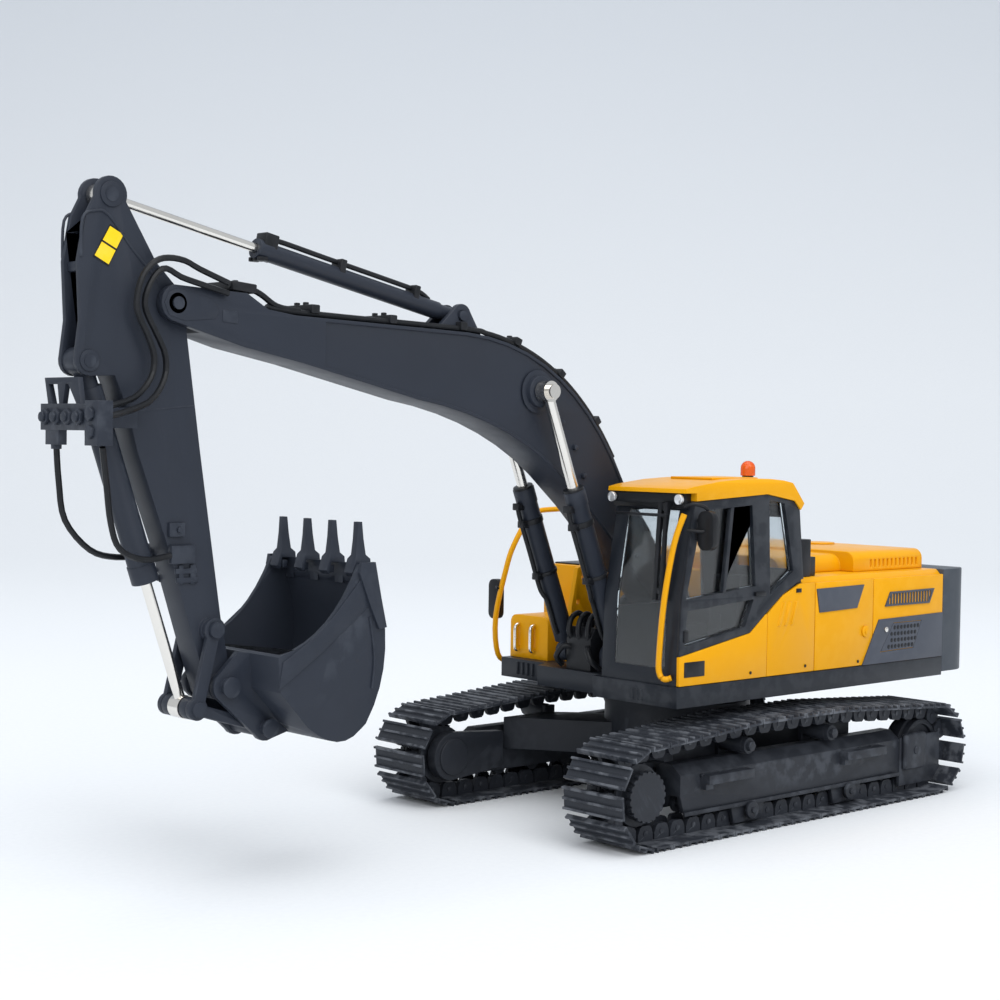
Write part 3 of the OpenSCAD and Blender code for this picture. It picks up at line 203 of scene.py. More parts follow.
def rod(name, start, end, radius, edge=0.08, sides=28):
    """A round bar between two points."""
    start, end = Vector(start) * MM, Vector(end) * MM
    turn = (end - start).to_track_quat("Z", "Y").to_euler()
    bpy.ops.mesh.primitive_cylinder_add(vertices=sides, radius=radius * MM, depth=(end - start).length,
                                        location=(start + end) / 2, rotation=turn)
    piece = settle(bpy.context.object, name)
    return round_edges(piece, edge * MM)


def smooth(points, steps=5):
    """A curve through given points."""
    p = [Vector(point) for point in points]
    path = []
    for i in range(len(p) - 1):
        a, b, c, d = p[max(i - 1, 0)], p[i], p[i + 1], p[min(i + 2, len(p) - 1)]
        for k in range(steps):
            t = k / steps
            path.append(0.5 * (2 * b + (c - a) * t + (2 * a - 5 * b + 4 * c - d) * t ** 2
                               + (3 * b - a - 3 * c + d) * t ** 3))
    return path + [p[-1]]


def hose(name, points, radius, steps=6, sides=3):
    """A tube along a smooth path."""
    path = smooth(points, steps)
    bpy.ops.curve.primitive_nurbs_path_add()
    curve = bpy.context.object.data
    curve.splines.clear()
    spline = curve.splines.new("POLY")
    spline.points.add(len(path) - 1)
    for point, place in zip(spline.points, path):
        point.co = (*(place * MM), 1)
    curve.bevel_depth = radius * MM
    curve.bevel_resolution = sides
    curve.use_fill_caps = True
    pick(bpy.context.object)
    bpy.ops.object.convert(target="MESH")
    piece = settle(bpy.context.object, name)
    face_outwards(piece)
    return round_edges(piece, 0)


def joined(name, pieces):
    """Several shapes as one piece."""
    pick(*pieces)
    bpy.ops.object.join()
    piece = bpy.context.object
    piece.name = piece.data.name = name
    return piece


def body_of(node):
    return next(body for body, nodes in frame["record"]["behaviour"]["bodies"].items() if node in nodes)


def dress(piece, finish, body):
    """Gives a piece its finish and fixes it to the body that it moves with."""
    piece.data.materials.clear()
    piece.data.materials.append(bpy.data.materials[finish])
    for face in piece.data.polygons:
        face.material_index = 0
    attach(piece, body)
    return piece


def refine(node, finish, edge=0.12, segments=2, angle=32):
    """A copy of a structural piece with rounded edges, which stands for it."""
    source = frame["nodes"][node]
    piece = source.copy()
    piece.data = source.data.copy()
    bpy.context.scene.collection.objects.link(piece)
    piece.parent = None
    del piece["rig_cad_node"]
    piece.name = piece.data.name = node + "_finished"
    pick(piece)
    bpy.ops.object.mode_set(mode="EDIT")
    bpy.ops.mesh.select_all(action="SELECT")
    bpy.ops.mesh.remove_doubles(threshold=0.0005 * MM)
    bpy.ops.mesh.dissolve_limited(angle_limit=math.radians(0.5))
    bpy.ops.object.mode_set(mode="OBJECT")
    round_edges(piece, edge * MM, segments, angle)
    dress(piece, finish, body_of(node))
    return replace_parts(piece, node)


def paint(node, finish):
    """Gives a structural piece that keeps its own mesh a finish."""
    piece = frame["nodes"][node]
    if not piece.data.materials:
        piece.data.materials.append(None)
    for place in piece.material_slots:
        place.link = "OBJECT"
        place.material = bpy.data.materials[finish]


def fix(piece, finish, beside):
    """Gives a small piece its finish and fixes it to the body of a structural piece."""
    return dress(piece, finish, body_of(beside))


def across(name, place, along, length, height, half, edge=0.12, drop=0.0):
    """A block over the hoses: centred at a place in X and Z, and turned along a direction."""
    a = Vector(along).normalized()
    n = Vector((-a.y, a.x))
    c = Vector(place)
    corners = [c - a * length / 2 - n * drop, c + a * length / 2 - n * drop,
               c + a * length / 2 + n * height, c - a * length / 2 + n * height]
    return plate(name, [tuple(corner) for corner in corners], -half, half, edge)


# ---- finishes --------------------------------------------------------------------------------

def new_group(name, inputs, outputs):
    """An empty shader node group with named sockets."""
    group = bpy.data.node_groups.new(name, "ShaderNodeTree")
    for socket, kind, value in inputs:
        made = group.interface.new_socket(socket, in_out="INPUT", socket_type=kind)
        made.default_value = value
    for socket, kind in outputs:
        group.interface.new_socket(socket, in_out="OUTPUT", socket_type=kind)
    nodes = group.nodes
    return group, nodes.new("NodeGroupInput"), nodes.new("NodeGroupOutput")


def noise_at(nodes, links, place, scale, detail):
    node = nodes.new("ShaderNodeTexNoise")
    node.inputs["Detail"].default_value = detail
    if isinstance(scale, float):
        node.inputs["Scale"].default_value = scale
    else:
        links.new(scale, node.inputs["Scale"])
    links.new(place, node.inputs["Vector"])
    return node.outputs["Fac"]


def spread(nodes, links, value, low, high, floor=0.0, ceiling=1.0):
    node = nodes.new("ShaderNodeMapRange")
    for socket, number in (("From Min", low), ("From Max", high), ("To Min", floor), ("To Max", ceiling)):
        if isinstance(number, (int, float)):
            node.inputs[socket].default_value = number
        else:
            links.new(number, node.inputs[socket])
    links.new(value, node.inputs["Value"])
    return node.outputs["Result"]


def multiply(nodes, links, a, b):
    node = nodes.new("ShaderNodeMath")
    node.operation = "MULTIPLY"
    links.new(a, node.inputs[0])
    if isinstance(b, (int, float)):
        node.inputs[1].default_value = b
    else:
        links.new(b, node.inputs[1])
    return node.outputs[0]


def add(nodes, links, a, b):
    node = nodes.new("ShaderNodeMath")
    node.operation = "ADD"
    links.new(a, node.inputs[0])
    links.new(b, node.inputs[1])
    return node.outputs[0]


def blend_colour(nodes, links, mask, a, b):
    node = nodes.new("ShaderNodeMix")
    node.data_type = "RGBA"
    links.new(mask, node.inputs["Factor"])
    for socket, colour in (("A", a), ("B", b)):
        place = next(s for s in node.inputs if s.name == socket and s.type == "RGBA")
        if isinstance(colour, tuple):
            place.default_value = colour
        else:
            links.new(colour, place)
    return next(s for s in node.outputs if s.type == "RGBA")


def build_sprayed_coat():
    """Sprayed paint: fine grain, faint clouding of colour, worn edges and settled dust."""
    group, given, out = new_group("Sprayed coat", [
        ("Colour", "NodeSocketColor", (0.5, 0.5, 0.5, 1)),
        ("Worn Colour", "NodeSocketColor", (0.6, 0.6, 0.6, 1)),
        ("Grain Scale", "NodeSocketFloat", 5000.0), ("Grain", "NodeSocketFloat", 0.3),
        ("Clouding", "NodeSocketFloat", 0.1), ("Wear", "NodeSocketFloat", 0.3),
        ("Dust", "NodeSocketFloat", 0.05),
        ("Low Roughness", "NodeSocketFloat", 0.35), ("High Roughness", "NodeSocketFloat", 0.5)],
        [("Colour", "NodeSocketColor"), ("Roughness", "NodeSocketFloat"), ("Height", "NodeSocketFloat")])
    nodes, links = group.nodes, group.links
    place = nodes.new("ShaderNodeTexCoord").outputs["Object"]
    geometry = nodes.new("ShaderNodeNewGeometry")
    grain = noise_at(nodes, links, place, given.outputs["Grain Scale"], 2)
    cloud = noise_at(nodes, links, place, 90.0, 4)
    patches = noise_at(nodes, links, place, 420.0, 5)
    # Clouding darkens the colour a little in wide patches
    shade = multiply(nodes, links, spread(nodes, links, cloud, 0.35, 0.7), given.outputs["Clouding"])
    clouded = blend_colour(nodes, links, shade, given.outputs["Colour"], (0.01, 0.01, 0.012, 1))
    speckle = multiply(nodes, links, spread(nodes, links, grain, 0.55, 0.75), given.outputs["Grain"])
    speckled = blend_colour(nodes, links, speckle, clouded, given.outputs["Worn Colour"])
    edge = spread(nodes, links, geometry.outputs["Pointiness"], 0.53, 0.60)
    worn = multiply(nodes, links, multiply(nodes, links, edge, spread(nodes, links, patches, 0.45, 0.6)),
                    given.outputs["Wear"])
    rubbed = blend_colour(nodes, links, worn, speckled, given.outputs["Worn Colour"])
    normal = nodes.new("ShaderNodeSeparateXYZ")
    links.new(geometry.outputs["Normal"], normal.inputs[0])
    upward = spread(nodes, links, normal.outputs["Z"], 0.3, 1.0)
    settled = multiply(nodes, links, multiply(nodes, links, upward, spread(nodes, links, patches, 0.3, 0.8)),
                       given.outputs["Dust"])
    dusty = blend_colour(nodes, links, settled, rubbed, (0.55, 0.56, 0.58, 1))
    links.new(dusty, out.inputs["Colour"])
    rough = spread(nodes, links, add(nodes, links, multiply(nodes, links, patches, 0.6),
                                     multiply(nodes, links, grain, 0.4)), 0.3, 0.7,
                   given.outputs["Low Roughness"], given.outputs["High Roughness"])
    links.new(rough, out.inputs["Roughness"])
    links.new(grain, out.inputs["Height"])
    return group


def new_material(name):
    made = bpy.data.materials.new(name)
    made.use_nodes = True
    return made, made.node_tree.nodes, made.node_tree.links, made.node_tree.nodes["Principled BSDF"]


def coated(name, coat, colour, worn, grain_scale, grain, clouding, wear, dust, roughness, bump, metallic=0.0,
           gloss=0.0, gloss_roughness=0.1, sheen=0.26):
    """A painted or moulded finish made with the sprayed coat."""
    made, nodes, links, shader = new_material(name)
    layer = nodes.new("ShaderNodeGroup")
    layer.node_tree = coat
    layer.inputs["Colour"].default_value = (*colour, 1)
    layer.inputs["Worn Colour"].default_value = (*worn, 1)
    for socket, value in (("Grain Scale", grain_scale), ("Grain", grain), ("Clouding", clouding),
                          ("Wear", wear), ("Dust", dust), ("Low Roughness", roughness[0]),
                          ("High Roughness", roughness[1])):
        layer.inputs[socket].default_value = value
    links.new(layer.outputs["Colour"], shader.inputs["Base Color"])
    links.new(layer.outputs["Roughness"], shader.inputs["Roughness"])
    relief = nodes.new("ShaderNodeBump")
    relief.inputs["Strength"].default_value = bump
    relief.inputs["Distance"].default_value = 0.02 * MM
    links.new(layer.outputs["Height"], relief.inputs["Height"])
    links.new(relief.outputs["Normal"], shader.inputs["Normal"])
    shader.inputs["Metallic"].default_value = metallic
    shader.inputs["Specular IOR Level"].default_value = 0.5 if metallic else sheen
    shader.inputs["Coat Weight"].default_value = gloss
    shader.inputs["Coat Roughness"].default_value = gloss_roughness
    return made


def clear_finish(name, tint, roughness, weight=1.0):
    """Clear or tinted moulded plastic, with faint polish marks."""
    made, nodes, links, shader = new_material(name)
    place = nodes.new("ShaderNodeTexCoord").outputs["Object"]
    marks = noise_at(nodes, links, place, 700.0, 4)
    links.new(spread(nodes, links, marks, 0.3, 0.7, roughness, roughness + 0.06), shader.inputs["Roughness"])
    tone = blend_colour(nodes, links, spread(nodes, links, marks, 0.4, 0.7, 0.0, 0.15), (*tint, 1),
                        (tint[0] * 0.85, tint[1] * 0.85, tint[2] * 0.85, 1))
    links.new(tone, shader.inputs["Base Color"])
    shader.inputs["Transmission Weight"].default_value = weight
    shader.inputs["IOR"].default_value = 1.45
    return made


def build_finishes(paint_box):
    coat = build_sprayed_coat()
    dark, chassis, grey = tuple(paint_box.dark), tuple(paint_box.chassis), tuple(paint_box.grey)
    yellow, bright = tuple(paint_box.yellow), tuple(paint_box.bright)
    deck = tuple(paint_box.frame)
    steel = (0.42, 0.43, 0.45)
    coated("dark paint", coat, dark, (0.07, 0.08, 0.10), 7000, 0.05, 0.10, 0.30, 0.004, (0.38, 0.50), 0.3)
    coated("cast dark paint", coat, dark, (0.08, 0.09, 0.11), 4200, 0.06, 0.12, 0.35, 0.006,
           (0.42, 0.56), 0.6)
    coated("chassis paint", coat, chassis, (0.09, 0.10, 0.12), 4800, 0.06, 0.12, 0.40, 0.010,
           (0.40, 0.56), 0.5)
    coated("track metal", coat, tuple(c * 1.25 for c in chassis), (0.14, 0.15, 0.17), 3600,
           0.08, 0.14, 0.65, 0.014, (0.38, 0.56), 0.7)
    coated("grey paint", coat, grey, (0.16, 0.17, 0.19), 6500, 0.04, 0.06, 0.20, 0.006, (0.34, 0.46), 0.25)
    coated("frame paint", coat, deck, (0.07, 0.075, 0.085), 6500, 0.04, 0.08, 0.25, 0.004, (0.32, 0.45), 0.25)
    coated("yellow paint", coat, yellow, (0.90, 0.52, 0.08), 5200, 0.03, 0.03, 0.10, 0.003,
           (0.28, 0.38), 0.15, gloss=0.06, gloss_roughness=0.12, sheen=0.12)
    coated("bright metal", coat, bright, steel, 3000, 0.05, 0.04, 0.0, 0.0, (0.10, 0.22), 0.1, metallic=1.0)
    coated("black plastic", coat, (0.008, 0.009, 0.011), (0.05, 0.05, 0.06), 5200, 0.06, 0.1, 0.2, 0.004,
           (0.30, 0.45), 0.35)
    coated("trim plastic", coat, (0.062, 0.070, 0.090), (0.13, 0.14, 0.16), 6000, 0.05, 0.06, 0.1, 0.004,
           (0.36, 0.48), 0.25)
    # Near-black finish of the grille's cells: painted shade of the honeycomb's holes, not a paint colour.
    coated("vent grey", coat, (0.012, 0.013, 0.016), (0.06, 0.06, 0.07), 6000, 0.08, 0.1, 0.1, 0.004,
           (0.38, 0.52), 0.25)
    coated("hose rubber", coat, (0.006, 0.007, 0.009), (0.05, 0.05, 0.055), 3500, 0.1, 0.1, 0.2, 0.006,
           (0.32, 0.46), 0.45)
    coated("seat cloth", coat, (0.02, 0.022, 0.026), (0.07, 0.07, 0.08), 2600, 0.4, 0.2, 0.1, 0.01,
           (0.75, 0.9), 0.9)
    coated("lamp lens", coat, (0.75, 0.76, 0.78), (0.9, 0.9, 0.9), 2500, 0.1, 0.05, 0.0, 0.0,
           (0.08, 0.16), 0.2, metallic=0.6, gloss=0.6, gloss_roughness=0.05)
    coated("decal yellow", coat, (0.92, 0.62, 0.01), (0.95, 0.8, 0.3), 6000, 0.03, 0.04, 0.1, 0.0,
           (0.3, 0.4), 0.1)
    clear_finish("clear window", (0.80, 0.84, 0.86), 0.02)
    clear_finish("amber lens", tuple(paint_box.amber), 0.06, 0.55)


# ---- operators -------------------------------------------------------------------------------

class EXCAVATOR_OT_finishes(bpy.types.Operator):
    """Makes the paint, metal, rubber and window finishes"""
    bl_idname = "excavator.finishes"
    bl_label = "Finishes"

    def execute(self, context):
        build_finishes(context.scene.excavator_paint)
        return {"FINISHED"}


class EXCAVATOR_OT_tracks(bpy.types.Operator):
    """Rounds and paints the tracks, their wheels and the frame between them"""
    bl_idname = "excavator.tracks"
    bl_label = "Tracks and frame"

    def execute(self, context):
        refine("car_body", "chassis paint", 0.35, 3)
        for side in ("left", "right"):
            refine("track_frame_" + side, "chassis paint", 0.15)
            refine("track_shoes_" + side, "track metal", 0.05, 1)
            paint("track_links_" + side, "track metal")
            refine("sprocket_" + side, "chassis paint", 0.06, 1)
            refine("idler_" + side, "chassis paint", 0.1)
            refine("carrier_front_" + side, "chassis paint", 0.08)
            refine("carrier_rear_" + side, "chassis paint", 0.08)
        refine("track_rollers", "chassis paint", 0.06, 1)
        refine("final_drives", "chassis paint", 0.12)
        refine("idler_yokes", "chassis paint", 0.1)
        paint("swing_pin", "bright metal")
        self.small_pieces()
        return {"FINISHED"}

    @staticmethod
    def small_pieces():
        """Guard bosses, bolts, lips and the idlers' covers, on both sides."""
        for side, sign in (("left", 1), ("right", -1)):
            def span(near, far):
                return (near, far) if sign > 0 else (-far, -near)
            pieces = []
            for x in (12.0, -15.0):
                near, far = span(27.6, 28.2)
                pieces.append(rod("boss", (x, near, 3.2), (x, far, 3.2), 1.5, 0.15))
                near, far = span(28.0, 28.5)
                pieces.append(rod("bolt", (x, near, 3.2), (x, far, 3.2), 0.55, 0.1, 6))
            for x in (20.0, 24.0, -22.0, -18.5):
                near, far = span(27.1, 27.4)
                pieces.append(rod("bolt", (x, near, 10.2), (x, far, 10.2), 0.4, 0.08, 6))
            near, far = span(27.2, 27.5)
            pieces.append(block("lip", (-30.5, near, 4.0), (28.4, far, 4.7), 0.1))
            fix(joined("track_frame_bosses_" + side, pieces), "chassis paint", "track_frame_" + side)
            near, far = span(26.9, 28.0)
            cover = block("cover", (-38.2, near, 4.9), (-31.6, far, 11.6), 0.5, 3)
            near, far = span(27.8, 28.2)
            knob = rod("knob", (-35, near, 8.4), (-35, far, 8.4), 0.8, 0.12)
            fix(joined("idler_cover_" + side, [cover, knob]), "chassis paint", "track_frame_" + side)


class EXCAVATOR_OT_upper_body(bpy.types.Operator):
    """Rounds and paints the deck, engine covers, counterweight, tank and rails"""
    bl_idname = "excavator.upper_body"
    bl_label = "Upper body"

    def execute(self, context):
        refine("deck_frame", "frame paint", 0.2)
        refine("counterweight", "grey paint", 0.6, 4, 20)
        refine("engine_bay", "yellow paint", 0.2)
        refine("side_panels", "yellow paint", 0.14)
        refine("engine_hood", "yellow paint", 0.3, 3)
        refine("tank_and_toolbox", "yellow paint", 0.22)
        refine("trim_plates", "trim plastic", 0.05)
        refine("boom_bracket", "dark paint", 0.12)
        refine("handrails", "yellow paint", 0)
        refine("mirrors", "black plastic", 0.2)
        refine("exhaust_stack", "black plastic", 0.12)
        paint("upper_pins", "dark paint")
        refine("valve_block", "black plastic", 0.15)
        self.small_pieces()
        return {"FINISHED"}

    @staticmethod
    def small_pieces():
        """Locks, badges, handles, grille, hatches and the hoses at the rams' feet."""
        side = 25.6
        locks = [rod("lock", (-21.6, side, 31.0), (-21.6, side + 0.35, 31.0), 1.05, 0.12),
                 rod("lock", (-21.6, side + 0.3, 31.0), (-21.6, side + 0.5, 31.0), 0.5, 0.08)]
        fix(joined("engine_lock", locks), "yellow paint", "side_panels")
        lock = rod("grille_lock", (-27.6, side + 0.15, 31.0), (-27.6, side + 0.5, 31.0), 0.5, 0.1)
        dress(lock, "bright metal", body_of("side_panels"))
        badge = block("badge_plate", (22.2, side, 26.3), (27.2, side + 0.12, 28.8), 0.08)
        fix(badge, "black plastic", "mirrors")
        marks = [block("slot", (-2.9, side, 38.9), (-1.5, side + 0.15, 39.6), 0.06)]
        for x, z in ((-4.4, 26.0), (-19.6, 25.7), (10.4, 25.9)):
            marks.append(rod("bolt", (x, side, z), (x, side + 0.15, z), 0.28, 0.05, 12))
        fix(joined("side_marks", marks), "black plastic", "mirrors")
        # Raised six-sided cells stand for the grille's honeycomb holes; their near-black finish is painted
        # shade inside the holes
        holes = []
        for row in range(4):
            for column in range(8 + row // 2):
                x = -30.4 - column * 1.05 + row * 0.42 + 0.5 * (row % 2)
                if -38.6 + row * 0.75 < x:
                    z = 31.2 - row * 1.15
                    holes.append(rod("hole", (x, side + 0.12, z), (x, side + 0.26, z), 0.42, 0.04, 6))
        fix(joined("grille_mesh", holes), "vent grey", "mirrors")
        handles = []
        for y in (-20.0, -16.0):
            handles.append(hose("handle", [(21.2, y, 26.2), (22.0, y, 26.5), (22.1, y, 28.6), (22.0, y, 30.5),
                                           (21.2, y, 30.9)], 0.33, 4))
        dress(joined("tool_box_handles", handles), "bright metal", body_of("deck_frame"))
        ribs = [block("rib", (22.9, y, 22.0), (23.25, y + 0.5, 24.3), 0.08)
                for y in (-18.5, -17.2, -15.9, -14.6)]
        fix(joined("step_ribs", ribs), "frame paint", "deck_frame")
        seams = [block("seam", (-12.0, 14.0, 41.32), (-5.0, 20.5, 41.55), 0.15),
                 block("seam", (-2.6, -24.4, 41.3), (8.0, -12.0, 41.6), 0.2)]
        fix(joined("deck_hatches", seams), "black plastic", "mirrors")
        fix(rod("filler_cap", (4.6, -18.2, 41.5), (4.6, -18.2, 42.9), 1.6, 0.25), "black plastic", "mirrors")
        fix(rod("hood_disc", (-40.5, 0, 45.0), (-40.5, 0, 45.3), 3.4, 0.15), "yellow paint", "engine_hood")
        pipes = []
        for y in (-1.9, 0.0, 1.9):
            pipes.append(hose("pipe", [(22.8, y, 33.0), (23.0, y, 34.0), (24.0, y * 1.1, 34.5),
                                       (25.4, y * 1.2, 33.6), (25.9, y * 1.2, 31.6), (25.2, y * 1.1, 30.0)],
                              size_of("foot_hose"), 5))
        for y in (-2.2, 2.2):
            pipes.append(hose("pipe", [(25.4, y * 0.9, 28.6), (26.6, y * 1.3, 28.8), (27.0, y * 1.9, 27.0),
                                       (25.2, y * 2.1, 25.4)], size_of("foot_hose"), 5))
            pipes.append(rod("fitting", (22.8, y * 0.86, 32.8), (22.8, y * 0.86, 34.0), 0.85, 0.1, 6))
        fix(joined("foot_hoses", pipes), "hose rubber", "valve_block")
        for y, name in ((-16.3, "weight_bolt_right"), (16.3, "weight_bolt_left")):
            fix(rod(name, (-50.4, y, 41.2), (-50.4, y, 41.75), 1.2, 0.15, 6), "black plastic", "mirrors")


class EXCAVATOR_OT_cab(bpy.types.Operator):
    """Rounds and paints the cab, its roof, windows and seat"""
    bl_idname = "excavator.cab"
    bl_label = "Cab"

    def execute(self, context):
        refine("cab_shell", "frame paint", 0.18)
        refine("cab_door", "frame paint", 0.1)
        refine("cab_side_plate", "yellow paint", 0.12)
        refine("cab_roof", "yellow paint", 0.45, 4, 20)
        refine("cab_header", "black plastic", 0.1)
        paint("cab_glass", "clear window")
        refine("cab_seat", "seat cloth", 0.3, 3)
        refine("cab_wiper", "black plastic", 0.06)
        paint("beacon_base", "black plastic")
        paint("beacon_lens", "amber lens")
        self.small_pieces()
        return {"FINISHED"}

    @staticmethod
    def small_pieces():
        """Lamps, mirror arms, handle, hinges, the wiper's blade and the roof's hatch."""
        front = 28.8
        lamps = []
        for y in (9.3, 24.3):
            lamps.append(rod("lamp", (front - 1.4, y, 55.3), (front - 0.75, y, 55.3), 0.85, 0.15))
        dress(joined("cab_lamps", lamps), "lamp lens", body_of("cab_header"))
        arms = [hose("arm", [(27.0, 25.0, 54.2), (26.6, 26.6, 54.6), (24.8, 27.6, 54.0), (24.2, 27.8, 52.6)],
                     0.32, 5),
                hose("arm", [(26.8, 25.2, 50.4), (25.8, 26.8, 50.2), (24.6, 27.6, 50.2)], 0.28, 4),
                hose("arm", [(20.9, -26.2, 37.0), (20.2, -27.2, 37.2), (19.2, -28.0, 36.6)], 0.28, 4)]
        fix(joined("mirror_arms", arms), "black plastic", "mirrors")
        door = [block("handle", (7.0, 25.4, 38.8), (9.6, 25.95, 39.5), 0.12),
                block("hinge", (23.9, 25.4, 48.6), (24.9, 25.8, 50.6), 0.12),
                block("hinge", (26.4, 25.4, 32.0), (27.4, 25.8, 34.0), 0.12)]
        fix(joined("door_fittings", door), "black plastic", "mirrors")
        gasket = [block("bar", (front - 0.5, 11.0, 52.4), (front - 0.1, 22.4, 52.9), 0.1)]
        fix(joined("screen_bar", gasket), "black plastic", "mirrors")
        hatch = plate("roof_hatch", [(4.5, 12.2), (16.5, 12.2), (16.5, 21.6), (4.5, 21.6)], 58.35, 58.75,
                      0.15, "Z")
        fix(hatch, "yellow paint", "cab_roof")
        wheel = [hose("rim", [(20.4 + 1.9 * math.cos(t * math.pi / 6), 16.6 + 1.9 * math.sin(t * math.pi / 6),
                               35.2 - 0.9 * math.cos(t * math.pi / 6)) for t in range(13)], 0.22, 3),
                 rod("column", (22.4, 16.6, 27.0), (20.4, 16.6, 35.2), 0.4)]
        fix(joined("steering_wheel", wheel), "black plastic", "cab_seat")


class EXCAVATOR_OT_boom_and_arm(bpy.types.Operator):
    """Rounds and paints the boom, the arm and their rams"""
    bl_idname = "excavator.boom_and_arm"
    bl_label = "Boom and arm"

    def execute(self, context):
        refine("boom", "dark paint", 0.12)
        refine("arm", "dark paint", 0.12)
        refine("hose_block", "cast dark paint", 0.12)
        for node in ("boom_barrel_left", "boom_barrel_right", "arm_barrel", "bucket_barrel"):
            refine(node, "dark paint", 0.12)
        for node in ("boom_rod_left", "boom_rod_right", "arm_rod", "bucket_rod"):
            paint(node, "bright metal")
        paint("arm_pins", "dark paint")
        paint("boom_pins", "dark paint")
        for node in ("boom_hoses", "arm_hoses"):
            paint(node, "hose rubber")
        self.on_the_boom()
        self.on_the_rams()
        self.on_the_arm()
        return {"FINISHED"}

    @staticmethod
    def on_the_boom():
        """Hose clamps along the back, hoses and raised panels at the tip, and bolts."""
        clamps = []
        for place, along, length in (((98.8, 85.3), (1, 0.08), 4.2), ((86.0, 82.9), (1, 0.02), 1.6),
                                     ((71.0, 82.2), (1, 0.02), 1.4), ((56.5, 81.9), (1, 0.04), 1.4),
                                     ((44.7, 80.0), (1, 0.38), 1.4), ((34.75, 75.2), (1, 0.85), 1.4),
                                     ((26.2, 67.6), (1, 1.5), 1.4)):
            clamps.append(across("clamp", place, along, length, 1.35, 3.7, 0.2))
            bolt = Vector(place) + Vector((-along[1], along[0])).normalized() * 1.2
            for y in (-1.1, 1.1):
                clamps.append(block("bolt", (bolt.x - 0.35, y - 0.35, bolt.y - 0.2),
                                    (bolt.x + 0.35, y + 0.35, bolt.y + 0.6), 0.1))
        fix(joined("boom_clamps", clamps), "black plastic", "boom_hoses")
        link = []
        for y in (-2.9, 2.9):
            link.append(hose("hose", [(88.5, y, 83.2), (92.5, y, 83.6), (95.5, y, 85.2), (98.0, y, 86.0),
                                      (101.0, y, 86.2)], size_of("tip_hose"), 5))
        fix(joined("boom_tip_hoses", link), "hose rubber", "boom_hoses")
        drop = [(110.4, 85.0), (107.6, 84.7), (104.6, 83.8), (103.5, 82.8), (103.4, 81.9), (104.1, 81.1),
                (106.0, 80.9), (109.0, 80.6), (111.6, 81.2), (112.4, 83.0), (111.6, 84.5)]
        pad = [(102.7, 82.5), (100.2, 82.4), (100.0, 81.4), (100.2, 80.6), (102.7, 80.8)]
        gusset = [(40.3 + 3.6 * math.cos(t), 72.6 + 3.6 * math.sin(t)) for t in
                  [k * math.pi / 10 for k in range(20)]]
        raised = []
        for near, far in ((3.85, 3.99), (-3.99, -3.85)):
            raised.append(plate("panel", drop, near, far, 0.06))
            raised.append(plate("panel", pad, near, far, 0.06))
            raised.append(plate("panel", gusset, near, far, 0.06))
            raised.append(rod("ring", (110.2, near, 83.0), (110.2, far, 83.0), 1.5, 0.05))
        fix(joined("boom_panels", raised), "dark paint", "boom")
        bolts = []
        for x, z in ((31.2, 63.4), (34.4, 67.6), (29.0, 58.6), (20.0, 50.5), (15.4, 44.6)):
            for near, far in ((3.5, 4.15), (-4.15, -3.5)):
                bolts.append(rod("bolt", (x, near, z), (x, far, z), size_of("bolt"), 0.1, 6))
        fix(joined("boom_bolts", bolts), "dark paint", "boom")

    @staticmethod
    def on_the_rams():
        """Pipes, bands and clamps on the boom rams and the arm ram."""
        def along(base, head, distance, lift):
            a = (Vector(head) - Vector(base)).normalized()
            return Vector(base) + a * distance + Vector((a.y, -a.x)) * lift

        base, head = (22.2, 27.5), (40.3, 72.6)
        for side, y in (("left", 6.15), ("right", -6.15)):
            inner = -0.9 if y > 0 else 0.9
            path = [(28.6, 2.0, 0), (27.2, 2.55, 0), (20.0, 2.5, 0), (13.6, 2.5, 0), (12.0, 2.4, 0.3),
                    (11.0, 2.1, 0.5), (9.0, 2.0, 0.6), (6.0, 2.0, 0.6), (4.2, 1.8, 0.6)]
            points = []
            for distance, lift, shift in path:
                place = along(base, head, distance, lift)
                points.append((place.x, y + inner * shift, place.y))
            pieces = [hose("pipe", points, size_of("boom_ram_pipe"), 4)]
            for start, end, radius in ((24.6, 25.6, 1.95), (15.0, 15.7, 1.95), (30.6, 31.4, 1.75)):
                a, b = along(base, head, start, 0), along(base, head, end, 0)
                pieces.append(rod("band", (a.x, y, a.y), (b.x, y, b.y), radius, 0.1))
            for distance in (28.4, 25.1, 15.3):
                a = along(base, head, distance, 2.2)
                pieces.append(block("clamp", (a.x - 0.75, y - 0.75, a.y - 0.6),
                                    (a.x + 0.75, y + 0.75, a.y + 0.6), 0.15))
            fix(joined("boom_ram_pipe_" + side, pieces), "black plastic", "boom_barrel_" + side)
        base, head = (55.8, 84.3), (120.0, 97.3)
        points = []
        for distance, lift in ((37.6, -1.4), (36.4, -2.1), (26.0, -2.1), (14.0, -2.1), (8.0, -2.0),
                               (5.6, -1.3)):
            place = along(base, head, distance, lift)
            points.append((place.x, 0, place.y))
        pieces = [hose("pipe", points, size_of("arm_ram_pipe"), 4)]
        u = (Vector(head) - Vector(base)).normalized()
        for distance, length in ((37.6, 2.4), (24.0, 1.1), (9.0, 1.1)):
            a = along(base, head, distance, 0)
            pieces.append(across("clamp", (a.x, a.y), (u.x, u.y), length, 2.6, 1.3, 0.15))
        a = along(base, head, 39.0, 1.55)
        for y in (-1.1, 0.0, 1.1):
            pieces.append(block("bolt", (a.x - 1.2, y - 0.3, a.y - 0.3), (a.x + 0.4, y + 0.3, a.y + 0.35),
                                0.1))
        fix(joined("arm_ram_pipe", pieces), "black plastic", "arm_barrel")

